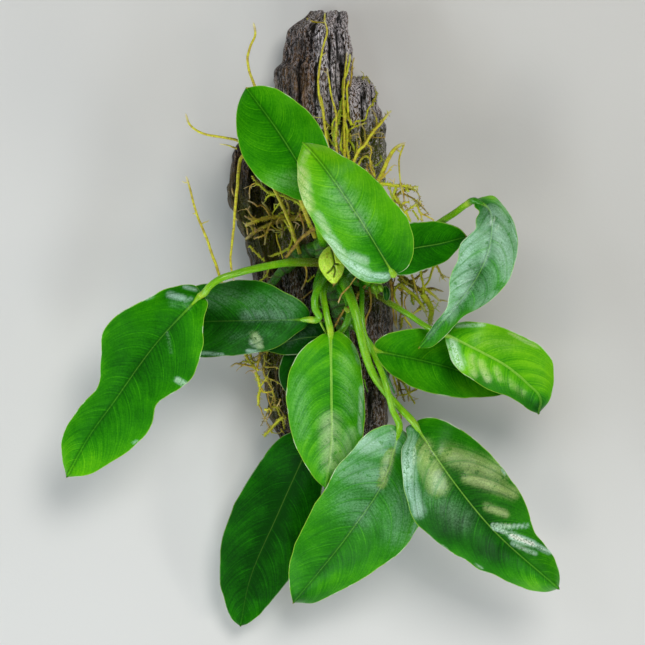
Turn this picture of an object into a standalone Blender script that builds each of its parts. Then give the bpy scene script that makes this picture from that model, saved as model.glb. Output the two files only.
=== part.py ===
"""Anubias barteri growing on a piece of driftwood, laid on its back with the leaves up.

The wood lies flat on its worn underside, its taller end towards +Y. A rhizome creeps along the
wood's upper face and carries petioles, leaf blades and roots. +Z is up and +X is to the right.
Every length is in millimetres until a mesh is made.
"""

import math

import bmesh
import bpy
from mathutils import Vector
from mathutils.bvhtree import BVHTree

METRE = 0.001
# Places are noted as they appear from this height above the underside, so `spot` draws a raised
# point in towards the middle by its share of that height.
VIEW_HEIGHT = 1200.0

# Thicknesses and gaps
BLADE_THICKNESS = 0.8
MARGIN_THICKNESS = 0.5
JOINT_GAP = 0.35
ROOT_CLEARANCE = 0.5
TWIG_BOW = Vector((0.8, 0.8, 1.2))

# How finely the shapes are faceted
ROW_LENGTH = 6.2
MOST_ROWS = 12
SMALL_LEAF = 35.0
LEAF_COLUMNS = 6
SMALL_LEAF_COLUMNS = 4
RHIZOME_SIDES = 8
STEM_SIDES = 6
ROOT_SIDES = 5
TWIG_SIDES = 4
FACET_TURN = math.radians(13)
STEM_FACET = 9.0
ROOT_FACET = 8.0
LAID_STEP = 5.0
ROUTE_STEP = 0.6
SECTION_POINTS = 18
BUD_RINGS = 7
BUD_SIDES = 8

# How the stems and roots taper, as shares of the radius at the start
RHIZOME_TAPER = 0.92
ROOT_TAPER = 0.55
MASS_TAPER = 0.7
TWIG_SHARES = (0.62, 0.4)

# How a blade bends between its rib and its margin: the powers of the share across for the lift and
# for the wave, and how far the left margin's wave runs ahead of the right one's, in turns
LIFT_POWER = 1.6
WAVE_POWER = 2.2
LEFT_WAVE_LEAD = 0.3
ROW_CROWDING = 0.95

# The wood's cross-section
FLANK_HEIGHT_SHARE = 0.38
UNDERCUT_ANGLE = math.radians(50)
SIDE_SQUARENESS = 0.8
CROWN_SQUARENESS = 0.62
SIDE_RIDGE_SHARE = 0.5
FRAY_LENGTH = 2.2
FRAY_TURN = 2.9
FRAY_START = 0.8
# The grain's ridges, as waves: size, turn from one line of the section to the next, turn for each
# millimetre along the wood, and start
RIDGES = [(1.0, 2.4, 0.04, 0.0), (0.6, 4.1, -0.025, 1.0)]
# Roots are laid on the wood by rays cast down from this height
ABOVE_THE_WOOD = 100.0

# Colours and roughness
WOOD = ("driftwood", (0.075, 0.052, 0.043), 0.55)
RHIZOME_GREEN = ("rhizome", (0.05, 0.16, 0.03), 0.45)
PETIOLE_GREEN = ("petiole", (0.21, 0.48, 0.04), 0.35)
LEAF_DARK = ("leaf_dark", (0.02, 0.15, 0.02), 0.3)
LEAF_MID = ("leaf_mid", (0.05, 0.3, 0.02), 0.28)
LEAF_YOUNG = ("leaf_young", (0.16, 0.5, 0.03), 0.28)
ROOT_YELLOW = ("root", (0.42, 0.36, 0.06), 0.6)
ROOT_MOSSY = ("mossy_root", (0.2, 0.22, 0.03), 0.8)

# The driftwood's three limbs, as stations along Y: (y, left edge, right edge, height of the crown)
TRUNK = [
    (124.8, -1.6, 9.4, 12),
    (122.8, -4.0, 10.2, 17),
    (119.6, -8.4, 10.4, 21),
    (116.0, -13.8, 10.8, 24),
    (108.8, -15.2, 11.6, 26),
    (100.0, -17.4, 11.6, 28),
    (93.6, -18.2, 11.6, 30),
    (80.8, -17.6, 12.4, 31),
    (64.8, -18.8, 16.0, 31),
    (48.8, -20.0, 20.8, 33),
    (32.8, -19.2, 24.0, 34),
    (12.8, -16.8, 26.8, 34),
    (-3.2, -15.2, 27.2, 33),
    (-15.2, -8.8, 26.8, 32),
    (-29.2, -0.8, 25.6, 29),
    (-40.0, 4.8, 24.8, 26),
    (-46.6, 8.4, 23.4, 20),
    (-50.0, 11.6, 21.2, 13),
]
RIGHT_SPIKE = [
    (97.8, 11.0, 17.0, 15),
    (95.6, 9.0, 19.4, 20),
    (92.0, 7.6, 21.4, 24),
    (87.6, 7.0, 21.6, 26),
    (82.8, 7.0, 23.6, 27),
    (72.8, 7.0, 25.2, 28),
    (62.0, 7.0, 24.8, 28),
    (54.8, 7.0, 24.0, 27),
]
LEFT_LIMB = [
    (72.8, -31.6, -24.0, 12),
    (69.6, -34.4, -20.8, 17),
    (60.8, -35.6, -18.4, 21),
    (48.8, -37.2, -17.6, 23),
    (43.6, -34.8, -17.2, 24),
    (36.8, -31.6, -16.8, 25),
    (24.8, -28.8, -15.2, 26),
    (8.8, -26.8, -12.8, 27),
    (-7.2, -25.2, -10.4, 27),
    (-19.2, -23.6, -8.8, 26),
    (-31.2, -21.6, -7.6, 24),
    (-41.2, -18.8, -7.6, 20),
    (-46.4, -16.0, -8.8, 14),
]

# The creeping rhizome and its two side branches: (x, y, z) along the middle, and the radius
RHIZOME = {
    "rhizome": dict(
        route=[(-0.4, 35.2, 38.4), (1.6, 25.6, 38.8), (4.8, 14.8, 39.2), (7.6, 4.8, 38.6), (9.6, -4, 37.6)],
        radius=4.4),
    "rhizome_left_branch": dict(
        route=[(0, 30.4, 38), (-8.8, 27.2, 36), (-14.4, 22.4, 33.6), (-20.4, 15.6, 30.6), (-24, 8.8, 30)],
        radius=3.2),
    "rhizome_right_branch": dict(
        route=[(4.8, 20, 39), (12, 18.4, 38.6), (18.4, 16, 40), (23.2, 12.4, 42.5)],
        radius=3.1),
}

# Leaf blades. rib, left and right are points from the base to the tip, seen from above; left and
# right are the margins on either hand of someone looking from the base to the tip, without those
# two ends. heights are along the rib; lift raises the left and right margin above the rib; wave is
# the size and number of the margin's undulations and the turn at which they start.
BLADES = {
    "leaf_upper_left": dict(
        rib=[(-4, 54.4), (-18.8, 78), (-30.4, 93.8)],
        left=[(-5.6, 50), (-15.2, 51.2), (-24, 56), (-31.6, 65.6), (-34.4, 78.8), (-32.8, 89.6)],
        right=[(1.6, 56.8), (3.6, 65.6), (1.6, 73.2), (-5.6, 84), (-14.8, 91.6), (-24, 94.8)],
        heights=(63, 68, 67, 58), lift=(-3, 0), wave=(0.8, 2.5, 0.2), look=LEAF_MID),
    "leaf_upper_centre": dict(
        rib=[(28.4, 19.2), (13.2, 44), (-3.2, 66.8), (-7.6, 71.6)],
        left=[(25.6, 16.4), (18.8, 16), (12.4, 19.2), (8, 23.6), (2.4, 31.2), (-4, 40.8), (-9.2, 52.8),
              (-10, 62.8)],
        right=[(34, 22), (36, 26.4), (36.4, 31.2), (34.8, 40), (28, 48.8), (19.2, 59.2), (9.6, 65.6),
               (0, 70.8)],
        heights=(75, 86, 90, 84), lift=(-5, -3), wave=(0.9, 3, 0.0), look=LEAF_MID),
    "leaf_far_left": dict(
        rib=[(-48.8, 10.8), (-66.4, -8.2), (-84.6, -33.4), (-92.6, -44.4), (-102.2, -61.6)],
        left=[(-46.4, 8.8), (-47.6, 1.6), (-48, -9.2), (-53.6, -23.6), (-60, -28), (-66.4, -33.6),
              (-68, -40.4), (-73.2, -47.6), (-83.6, -55.2), (-93.6, -60.8)],
        right=[(-50.8, 14.4), (-55.2, 14.8), (-62.8, 13.6), (-70, 9.6), (-81.6, 3.2), (-87.6, -4.4),
               (-88.4, -13.6), (-89.6, -24.8), (-96, -32.8), (-102.8, -43.2), (-104.4, -51.2)],
        heights=(65, 66, 60, 50, 36), lift=(-3, -4), wave=(1.8, 2.6, 0.55), look=LEAF_MID),
    "leaf_left": dict(
        rib=[(-5.2, 1.2), (-28.8, 0.8), (-64.8, 0)],
        left=[(-6.8, -1.6), (-12, -5.6), (-18.8, -10), (-29.2, -12.4), (-38.4, -13.2), (-47.6, -14),
              (-54.8, -12), (-61.6, -6.4)],
        right=[(-5.2, 4), (-8, 7.6), (-14, 11.6), (-22.4, 15.6), (-32.4, 17.2), (-40.8, 16),
               (-48.8, 15.2), (-56.8, 11.2), (-62.4, 5.6)],
        heights=(54, 53, 49, 42), lift=(-3.5, -2), wave=(0.8, 3, 0.4), look=LEAF_DARK),
    "leaf_left_under": dict(
        rib=[(4.8, -5.2), (-8.8, -6.4), (-24, -11.2)],
        left=[(2.4, -9.2), (-1.6, -11.2), (-8.8, -12.4), (-16, -12.6)],
        right=[(4.4, -1.6), (1.2, 0), (-6.8, 0), (-14.8, -3.2), (-20.8, -7.6)],
        heights=(45, 44, 40.5), lift=(-0.6, 0), wave=(0.3, 2, 0.0), look=LEAF_DARK),
    "leaf_centre": dict(
        rib=[(3.2, -4.4), (3.6, -31.2), (3.6, -47.2), (1.2, -66.4)],
        left=[(6.4, -4), (10.4, -6.4), (13.6, -10.8), (15.6, -18), (16.4, -28), (16.6, -42),
              (13.6, -51.2), (8, -60)],
        right=[(0, -4.8), (-4, -7.2), (-8, -10.8), (-12, -16.4), (-14.4, -28), (-14, -35.2),
               (-12, -45.6), (-8, -54.4), (-3.2, -61.6)],
        heights=(57, 58, 53, 42), lift=(-4, -3), wave=(0.9, 3, 0.1), look=LEAF_YOUNG),
    "leaf_centre_under": dict(
        rib=[(-2.4, -8), (-8, -18), (-12.8, -29.2)],
        left=[(-0.6, -11), (-1.6, -16), (-4, -23.2), (-8.8, -28)],
        right=[(-5.6, -7.4), (-10.4, -8.4), (-15.2, -12.4), (-17.2, -20), (-16, -26.4)],
        heights=(40, 39.5, 37), lift=(-0.4, -0.8), wave=(0.2, 2, 0.3), look=LEAF_DARK),
    "leaf_lower_middle": dict(
        rib=[(30.8, -42.4), (25, -62.4), (11.2, -83.6), (-11.6, -112)],
        left=[(35.2, -45.6), (39.2, -55.2), (40.8, -67.2), (40, -78.4), (35.6, -86), (29.2, -93.2),
              (18.8, -100.4), (7.6, -106.8), (-4, -112)],
        right=[(28.8, -41.2), (21.2, -42.4), (16, -46.4), (10.4, -52.4), (4.8, -59.2), (1.2, -66.4),
               (-4, -74.4), (-8.8, -84.4), (-12, -91.2), (-13.2, -97.6), (-13.2, -104.8)],
        heights=(57, 58, 51, 30), lift=(-6, -1.5), wave=(0.9, 2.5, 0.3), look=LEAF_MID),
    "leaf_lower_right": dict(
        rib=[(36.8, -40.4), (51.2, -62), (67, -81.6), (94.4, -106.4)],
        left=[(38.8, -39.2), (42.8, -38.2), (50, -40), (59.2, -45.6), (68, -53.6), (78, -66.8),
              (82.8, -77.2), (84.4, -83.6), (88.8, -88.8), (92.8, -95.2), (94.8, -101.6)],
        right=[(33.6, -42), (34, -45.6), (32, -50), (32, -57.2), (32.8, -67.2), (36.8, -78.8),
               (45.6, -87.6), (58, -95.6), (62.4, -98.8), (69.2, -100.8), (74.8, -104), (84, -106.8),
               (90.4, -107.4)],
        heights=(62, 68, 63, 42), lift=(-4, -7), wave=(1.2, 3.5, 0.6), look=LEAF_MID),
    "leaf_lower_left": dict(
        rib=[(-3.2, -44), (-17.6, -76), (-29.6, -104.8), (-32.8, -121.2)],
        left=[(0, -51.2), (0, -63.2), (-2.4, -79.2), (-7.6, -93.2), (-14, -103.2), (-19.6, -110.4),
              (-25.6, -116.8), (-29.6, -120)],
        right=[(-8, -43.2), (-12.6, -44), (-17.6, -46.8), (-25, -56.2), (-32.6, -68), (-38.2, -80),
               (-41, -97.6), (-39.4, -110.6), (-36, -118.7)],
        heights=(38, 38, 30, 12), lift=(-2.5, -3), wave=(0.6, 2, 0.5), look=LEAF_DARK),
    "leaf_right_under": dict(
        rib=[(21.2, -11.2), (49.2, -17.6), (77.6, -28)],
        left=[(20.8, -8.8), (24, -5.6), (31.2, -3.2), (37.2, -2.6), (43.2, -2.8), (50.4, -5.2),
              (59.2, -9.2), (68, -16), (74.4, -22.4)],
        right=[(21.6, -13.6), (25.2, -18.4), (31.2, -23.2), (39.2, -27.2), (51.2, -29.6),
               (63.2, -30.2), (70.4, -29.2)],
        heights=(46.5, 46, 42, 34), lift=(0.5, 0.5), wave=(0.5, 2, 0.1), look=LEAF_DARK),
    "leaf_curled": dict(
        rib=[(60.8, 48.8), (66.4, 45.6), (67.4, 34), (63.6, 21.6), (54, 7.6), (45.6, -2), (38.8, -10)],
        left=[(64, 50), (68, 50.4), (71.6, 46.8), (76, 41.2), (78, 33.2), (76.8, 23.2), (74, 16.4),
              (68, 9.6), (61.6, 5.2), (55.6, 2.2), (53.2, -0.8), (48.8, -5.6), (43.6, -9.6)],
        right=[(61, 46), (62.8, 44.2), (61.6, 41.6), (61.2, 37.6), (58.8, 35.2), (55.2, 31.2), (54.4, 26.8),
               (52.4, 21.6), (50.8, 16), (50.6, 9.6), (48.8, 4.4), (43.6, -2.4), (40.8, -6.4)],
        heights=(77, 84, 82, 73, 65, 61, 58), lift=(-4, -1), wave=(0.8, 2, 0.0), look=LEAF_MID),
    "leaf_right": dict(
        rib=[(49.2, -4.8), (64, -12), (74.2, -17.8), (81.8, -24.2), (87, -30), (86.4, -36.4)],
        left=[(51.2, -1.6), (56.4, 0.2), (66.4, -0.6), (77.4, -4.4), (87, -9.6), (92.4, -16.8),
              (92.4, -21.6), (90.8, -30.4)],
        right=[(49.4, -7.6), (50.4, -11.6), (52.4, -16.6), (59.6, -22.6), (67.2, -27.2),
               (74.4, -29.6), (79.2, -32), (83.2, -35)],
        heights=(52, 56, 55, 44), lift=(-3, -2.5), wave=(0.9, 3, 0.2), look=LEAF_YOUNG),
    "leaf_right_behind": dict(
        rib=[(26.4, 26.4), (36.4, 29.6), (47.2, 31.6), (57.6, 34.4)],
        left=[(28, 34.4), (33.2, 39.2), (39.2, 40.4), (44.4, 40.6), (51.2, 39), (55.2, 37.2)],
        right=[(28, 20), (32.8, 18.8), (42.4, 21.8), (51.2, 26), (54.4, 30)],
        heights=(58, 61, 58), lift=(1.5, -1.5), wave=(0.4, 2, 0.2), look=LEAF_MID),
    "shoot_leaf": dict(
        rib=[(25.2, 14.6), (26, 11.6), (25.6, 8.6)],
        left=[(26.6, 13.8), (27.2, 11.6), (26.6, 9.6)],
        right=[(24.6, 13.4), (24.6, 11.6), (24.9, 9.6)],
        heights=(48.6, 49.6, 47.6), lift=(-0.6, -0.6), wave=(0, 1, 0), look=LEAF_DARK),
}

# The young folded leaf: its length, width and depth, its middle as (x, y, z), and the way its tip
# points
BUD_SIZE = (15.4, 11.2, 6.6)
BUD_MIDDLE = (3.6, 22.6, 63)
BUD_AXIS = Vector((0.12, -1, -0.1))
# The powers that move the bud's widest place towards its stalk and make its sides full
BUD_FORWARD = 0.85
BUD_FULLNESS = 0.8

# Petioles, by the leaf that each carries: (x, y, z) from the rhizome to the blade, and the radius at
# those two ends
PETIOLES = {
    "leaf_upper_left": dict(
        route=[(0.4, 32, 42), (-1.2, 37.6, 51), (-2.8, 45.6, 58), (-4, 54.4, 63)], radii=(1.7, 1.2)),
    "leaf_upper_centre": dict(
        route=[(17.6, 16.4, 44.5), (20, 20, 54), (24, 22.4, 65), (27, 21, 71.8), (28.4, 19.2, 75)],
        radii=(1.8, 1.3)),
    "leaf_far_left": dict(
        route=[(-0.8, 24, 43), (-12.8, 24, 51), (-24, 22.4, 60), (-34.8, 19.2, 66), (-42.8, 15.6, 68),
               (-46.4, 12.6, 67), (-48.8, 10.8, 65)],
        radii=(1.7, 1.4)),
    "leaf_left": dict(
        route=[(2.4, 20, 43), (-1.4, 14.4, 53), (-3.2, 9.2, 56.4), (-2.9, 5.2, 57), (-1.3, 2.4, 56.4),
               (-2.3, 1.2, 55), (-5.2, 1.2, 54)],
        radii=(1.8, 1.3)),
    "leaf_left_under": dict(
        route=[(7.2, 13.6, 42), (10.4, 8.4, 47.5), (10.6, 2.6, 50), (8.9, -1.6, 49.4), (6.8, -4.2, 47),
               (4.8, -5.2, 45)],
        radii=(1.6, 1.1)),
    "leaf_centre": dict(
        route=[(1.6, 17, 42), (0.2, 11.2, 51.6), (1.6, 3.4, 56.4), (3.2, -4.4, 57)], radii=(1.4, 1.2)),
    "leaf_centre_under": dict(
        route=[(-0.4, 21.6, 41), (-2.6, 14.8, 42.2), (-2, 4.8, 43), (-2, -3.2, 41.8), (-2.4, -8, 40)],
        radii=(1.2, 0.9)),
    "leaf_lower_middle": dict(
        route=[(15.6, 16.8, 42.5), (15.8, 11.2, 47.5), (15.8, 3.2, 51.5), (16.6, -3.6, 53),
               (19.6, -11.2, 54.8), (23.4, -19.2, 59), (25.8, -26.4, 61.8), (27.8, -34.4, 60.6),
               (30.8, -42.4, 57)],
        radii=(1.3, 1.3)),
    "leaf_lower_right": dict(
        route=[(6.8, 18.4, 41.6), (9.2, 14.8, 51), (13.2, 4, 59), (15.2, -4.4, 60.5), (17, -12, 59),
               (20.6, -21.2, 55.6), (24.6, -27, 54.2), (30.4, -33.6, 57.6), (36.8, -40.4, 62)],
        radii=(2.0, 1.4)),
    "leaf_lower_left": dict(
        route=[(9.2, -1.2, 42), (9.6, -11.2, 42), (6.8, -25.2, 41), (1.6, -36, 40), (-3.2, -44, 38)],
        radii=(1.4, 1.1)),
    "leaf_right_under": dict(
        route=[(9.2, 1.6, 42.5), (13.6, -2.4, 45.6), (17.6, -6.8, 47), (21.2, -11.2, 46.5)],
        radii=(1.4, 1.1)),
    "leaf_curled": dict(
        route=[(10.4, 20, 42), (20, 24, 46), (28.8, 28, 49), (38.8, 34, 52), (46.2, 39.4, 56.4),
               (53.2, 44, 65.5), (57.6, 47.2, 73.4), (60.8, 48.8, 77)],
        radii=(1.6, 1.3)),
    "leaf_right": dict(
        route=[(20, 12, 40), (26.4, 8, 41.5), (34.4, 3.2, 45.4), (42.4, -2, 49), (49.2, -4.8, 52)],
        radii=(1.1, 1.1)),
    "leaf_right_behind": dict(
        route=[(5.6, 23.2, 42), (11.6, 26, 50.5), (18.4, 26, 55.6), (26.4, 26.4, 58)], radii=(1.4, 1.1)),
    "spathe_bud": dict(
        route=[(1.4, 26.6, 42.5), (2.8, 28, 52), (4, 28.6, 57.4)], radii=(1.2, 1.0)),
}

# Long roots: (x, y, z) from where they start to the tip, with z raised wherever the wood is in the
# way, then the radius at the start and the piece that the root grows from
ROOTS = {
    "root_top_left": dict(
        route=[(-3, 34, 39), (-8.8, 48.8, 46), (-14.8, 64.8, 50), (-22.4, 82.8, 52), (-27.2, 94.8, 52),
               (-30, 104.8, 51.5), (-28.8, 110.8, 51), (-26.8, 116, 50), (-27.6, 120, 50)],
        radius=0.8, grows_from="rhizome"),
    "root_left": dict(
        route=[(-9, 27.4, 39), (-14, 42, 40), (-21.6, 57.6, 43), (-28.8, 68.8, 46), (-34, 72.8, 47.4),
               (-42.8, 74.4, 48), (-48.8, 76, 48), (-52.8, 78.8, 48), (-54.8, 83.6, 49)],
        radius=0.75, grows_from="rhizome_left_branch"),
    "root_left_fork": dict(
        route=[(-28.8, 68.8, 46), (-32.4, 66, 45), (-33.8, 56.8, 45), (-35, 44.8, 44.4), (-36, 32.8, 44),
               (-36.8, 24, 44.6), (-35.4, 16.6, 46)],
        radius=0.7, grows_from="root_left"),
    "root_far_left": dict(
        route=[(-22, 12, 33), (-31, 11, 37), (-39.6, 14.8, 41), (-42.4, 22.4, 43), (-46.8, 34.8, 45),
               (-50.8, 44.8, 46), (-52.8, 52.8, 46), (-54.6, 58.6, 46.4)],
        radius=0.7, grows_from="rhizome_left_branch"),
    "root_up_the_trunk": dict(
        route=[(4.6, 58, 0), (2, 69.2, 0), (0, 82.8, 0), (-1.6, 91, 0), (-1.2, 99, 0), (0, 106.8, 0),
               (1.8, 113.6, 0), (0.8, 118.8, 0)],
        radius=0.6, grows_from=None),
    "root_trunk_middle": dict(
        route=[(6, 62, 0), (5.2, 72, 0), (5.4, 80, 0), (3.6, 88, 0), (1.8, 99.2, 0)],
        radius=0.5, grows_from=None),
    "root_trunk_right": dict(
        route=[(8.6, 64, 0), (8.4, 76, 0), (8.2, 88, 0), (8.8, 97.6, 0), (9.6, 106, 0)],
        radius=0.6, grows_from=None),
    "root_right_arch": dict(
        route=[(20, 54, 29), (23.2, 58, 33), (26.4, 65.6, 36), (30, 70.4, 38), (33.2, 72, 38.4)],
        radius=1.1, grows_from=None),
    "root_right_hanging": dict(
        route=[(32.6, 71.2, 38), (30.8, 66, 38), (30.8, 59, 37), (32, 51, 36)],
        radius=0.4, grows_from="root_right_arch"),
}

# Moss-covered root masses: the thick root, then its side twigs as (place along it, end point)
ROOT_MASSES = {
    "root_mass_left": dict(
        stem=[(-5.6, 41, 31), (-12, 41.4, 31), (-20, 39.6, 31), (-26, 36.8, 30), (-31, 33.2, 29)],
        radius=1.5,
        twigs=[(0.16, (-9.6, 49.6, 38)), (0.3, (-15.6, 51.2, 38)), (0.42, (-16.4, 33.6, 38)),
               (0.55, (-24.4, 48.4, 31)), (0.7, (-23.2, 30.8, 31)), (0.85, (-31.6, 39.6, 31))]),
    "root_mass_trunk": dict(
        stem=[(11.6, 62, 31), (15.2, 69.6, 30), (19.4, 75.6, 30), (27, 84.2, 31)], radius=1.1,
        twigs=[(0.1, (13.4, 75, 31)), (0.32, (20.6, 69.6, 31)), (0.45, (14.4, 80, 31)),
               (0.55, (24.6, 75.4, 31)), (0.7, (19.4, 85.6, 31))]),
    "root_mass_right": dict(
        stem=[(18.4, 42, 32), (25, 46, 33), (31.6, 52.4, 34), (38, 54.2, 35)], radius=1.1,
        twigs=[(0.2, (24.8, 39.6, 36)), (0.45, (35.2, 44.8, 36)), (0.58, (27.6, 55.6, 34)),
               (0.7, (42.4, 43.2, 37)), (0.85, (39.2, 49.6, 35))]),
    "root_mass_middle_right": dict(
        stem=[(22, 22, 32), (29.6, 19.6, 33), (36.8, 14.8, 33), (42.4, 8.8, 33), (43.4, 1.2, 32)],
        radius=1.5,
        twigs=[(0.15, (27.6, 6.8, 30)), (0.3, (30.8, -1.2, 30)), (0.45, (42.4, 21.2, 35)),
               (0.6, (48.4, 12.4, 34)), (0.75, (35.6, 2.8, 30))]),
    "root_mass_lower_left": dict(
        stem=[(-19.2, -5.6, 29.5), (-22.8, -14, 28.6), (-23.4, -20.4, 28), (-19.6, -28, 27.4),
              (-19.4, -35.6, 25)],
        radius=0.9,
        twigs=[(0.2, (-33.2, -18, 26)), (0.4, (-15.4, -20, 29)), (0.55, (-14.6, -27.2, 28)),
               (0.8, (-24.8, -41.4, 20)), (0.9, (-14.6, -41, 24))]),
    "root_mass_lower_right": dict(
        stem=[(26, -12, 26), (29, -19, 27), (31, -26, 26), (32.6, -31.6, 24)], radius=0.8,
        twigs=[(0.35, (34.4, -19.6, 29)), (0.6, (28.4, -33.6, 24)), (0.75, (35.2, -28.4, 25))]),
}


def spot(x, y, z):
    """The real place of a point that is seen at x, y and stands z above the underside."""
    drawn_in = 1 - z / VIEW_HEIGHT
    return Vector((x * drawn_in, y * drawn_in, z))


def along(points, share):
    """The point at a share of the way along a smooth curve through the points."""
    points = [Vector(p) for p in points]
    knots = [0.0]
    for a, b in zip(points, points[1:]):
        knots.append(knots[-1] + max((b - a).length, 1e-6))
    place = min(max(share, 0), 1) * knots[-1]
    i = 0
    while i < len(points) - 2 and place > knots[i + 1]:
        i += 1

    def slope(k):
        if k == 0 or k == len(points) - 1:
            a, b = (0, 1) if k == 0 else (k - 1, k)
            return (points[b] - points[a]) / (knots[b] - knots[a])
        before = (points[k] - points[k - 1]) / (knots[k] - knots[k - 1])
        after = (points[k + 1] - points[k]) / (knots[k + 1] - knots[k])
        weight = (knots[k] - knots[k - 1]) / (knots[k + 1] - knots[k - 1])
        return before * (1 - weight) + after * weight

    span = knots[i + 1] - knots[i]
    s = (place - knots[i]) / span
    h00, h10 = 2 * s**3 - 3 * s**2 + 1, s**3 - 2 * s**2 + s
    h01, h11 = -2 * s**3 + 3 * s**2, s**3 - s**2
    return (points[i] * h00 + slope(i) * (h10 * span)
            + points[i + 1] * h01 + slope(i + 1) * (h11 * span))


def length_of(points):
    """The length of the straight runs through the points."""
    return sum((Vector(b) - Vector(a)).length for a, b in zip(points, points[1:]))


def material(look):
    """The material of that name, made once."""
    name, colour, roughness = look
    made = bpy.data.materials.get(name)
    if made is None:
        made = bpy.data.materials.new(name)
        made.use_nodes = True
        shader = made.node_tree.nodes["Principled BSDF"]
        shader.inputs["Base Color"].default_value = (*colour, 1)
        shader.inputs["Roughness"].default_value = roughness
        shader.inputs["Metallic"].default_value = 0
    return made


def solid(name, points, faces, look):
    """One named object from points in millimetres."""
    mesh = bpy.data.meshes.new(name)
    mesh.from_pydata([tuple(Vector(p) * METRE) for p in points], [], faces)
    form = bmesh.new()
    form.from_mesh(mesh)
    bmesh.ops.triangulate(form, faces=form.faces)
    bmesh.ops.recalc_face_normals(form, faces=form.faces)
    if form.calc_volume(signed=True) < 0:
        bmesh.ops.reverse_faces(form, faces=form.faces)
    form.to_mesh(mesh)
    form.free()
    mesh.shade_smooth()
    mesh.set_sharp_from_angle(angle=math.radians(50))
    mesh.materials.append(material(look))
    made = bpy.data.objects.new(name, mesh)
    bpy.context.scene.collection.objects.link(made)
    return made


def facet_points(route, longest):
    """Points along the smooth route, closer together where it bends."""
    fine_count = max(12, round(length_of(route) / ROUTE_STEP))
    fine = [along(route, k / fine_count) for k in range(fine_count + 1)]
    kept = [fine[0]]
    heading = fine[1] - fine[0]
    for here, ahead in zip(fine[2:-3], fine[3:-2]):
        if heading.angle(ahead - here) > FACET_TURN or (here - kept[-1]).length > longest:
            kept.append(here)
            heading = ahead - here
    return kept + [fine[-1]]


def tube(name, route, radii, sides, longest, look):
    """A round stem along a route of (x, y, z), with a radius at each end."""
    centres = facet_points(route, longest)
    count = len(centres) - 1
    points, faces = [], []
    across = Vector((0, 0, 1))
    for k, centre in enumerate(centres):
        ahead = (centres[min(k + 1, count)] - centres[max(k - 1, 0)]).normalized()
        across = (across - ahead * across.dot(ahead)).normalized()
        side = ahead.cross(across)
        radius = radii[0] + (radii[1] - radii[0]) * k / count
        for n in range(sides):
            turn = 2 * math.pi * n / sides
            points.append(centre + (across * math.cos(turn) + side * math.sin(turn)) * radius)
    for k in range(count):
        for n in range(sides):
            m = (n + 1) % sides
            faces.append((k * sides + n, k * sides + m, (k + 1) * sides + m, (k + 1) * sides + n))
    faces.append(tuple(range(sides))[::-1])
    faces.append(tuple(count * sides + n for n in range(sides)))
    return solid(name, points, faces, look)


def helper(piece, name):
    """Keeps a piece as a cutter or a joining shape that isn't part of the object."""
    piece.name = name
    piece.hide_render = True
    piece.display_type = "WIRE"
    return piece


def trim(piece, *neighbours):
    """Cuts a piece back from each neighbour, leaving a joint gap between them."""
    for neighbour in neighbours:
        name = "grown_" + neighbour.name
        grown = bpy.data.objects.get(name)
        if grown is None:
            grown = neighbour.copy()
            grown.data = neighbour.data.copy()
            grown.modifiers.clear()
            bpy.context.scene.collection.objects.link(grown)
            helper(grown, name)
            shift = [v.normal * (JOINT_GAP * METRE) for v in grown.data.vertices]
            for v, move in zip(grown.data.vertices, shift):
                v.co += move
        cut = piece.modifiers.new("trim_" + neighbour.name, "BOOLEAN")
        cut.operation = "DIFFERENCE"
        cut.object = grown


def ridge(n, y):
    """How far the wood's grain stands out on line n of the section, slowly changing along y."""
    return sum(size * math.sin(turn * n + drift * y + start) for size, turn, drift, start in RIDGES)


def limb(name, stations):
    """A length of driftwood, flat underneath, lofted through its stations, with a frayed top end."""
    points, faces = [], []
    ring = SECTION_POINTS
    for k, (y, left, right, crown) in enumerate(stations):
        middle, half = (left + right) / 2, (right - left) / 2
        flank = crown * FLANK_HEIGHT_SHARE
        for n in range(ring):
            angle = math.pi + UNDERCUT_ANGLE - (math.pi + 2 * UNDERCUT_ANGLE) * n / (ring - 1)
            c, s = math.cos(angle), math.sin(angle)
            grain = ridge(n, y)
            reach = half + SIDE_RIDGE_SHARE * grain * abs(c)
            x = middle + reach * math.copysign(abs(c) ** SIDE_SQUARENESS, c)
            if n in (0, ring - 1):
                z = 0.0
            elif s > 0:
                z = flank + (crown - flank) * s**CROWN_SQUARENESS + grain * s
            else:
                z = flank * (1 + s / math.sin(UNDERCUT_ANGLE))
            worn = abs(math.sin(FRAY_TURN * n + FRAY_START)) if k == 0 else 0
            points.append((x, y - FRAY_LENGTH * max(s, 0) * worn, z))
    for k in range(len(stations) - 1):
        for n in range(ring):
            m = (n + 1) % ring
            faces.append((k * ring + n, k * ring + m, (k + 1) * ring + m, (k + 1) * ring + n))
    last = (len(stations) - 1) * ring
    faces.append(tuple(range(ring))[::-1])
    faces.append(tuple(last + n for n in range(ring)))
    return solid(name, points, faces, WOOD)


def blade_place(blade, t, v):
    """A point of a blade's middle surface: t runs from base to tip, v from right margin to left."""
    rib = along(blade["rib"], t)
    side = "left" if v > 0 else "right"
    margin = along([blade["rib"][0], *blade[side], blade["rib"][-1]], t)
    seen = rib.lerp(margin, abs(v))
    heights = list(enumerate(blade["heights"]))
    size, count, start = blade["wave"]
    turn = 2 * math.pi * (count * t + start + (LEFT_WAVE_LEAD if v > 0 else 0))
    z = along(heights, t)[1] + blade["lift"][side == "right"] * abs(v) ** LIFT_POWER
    z += size * math.sin(turn) * abs(v) ** WAVE_POWER * math.sin(math.pi * t) ** 0.5
    return spot(seen[0], seen[1], z)


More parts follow.
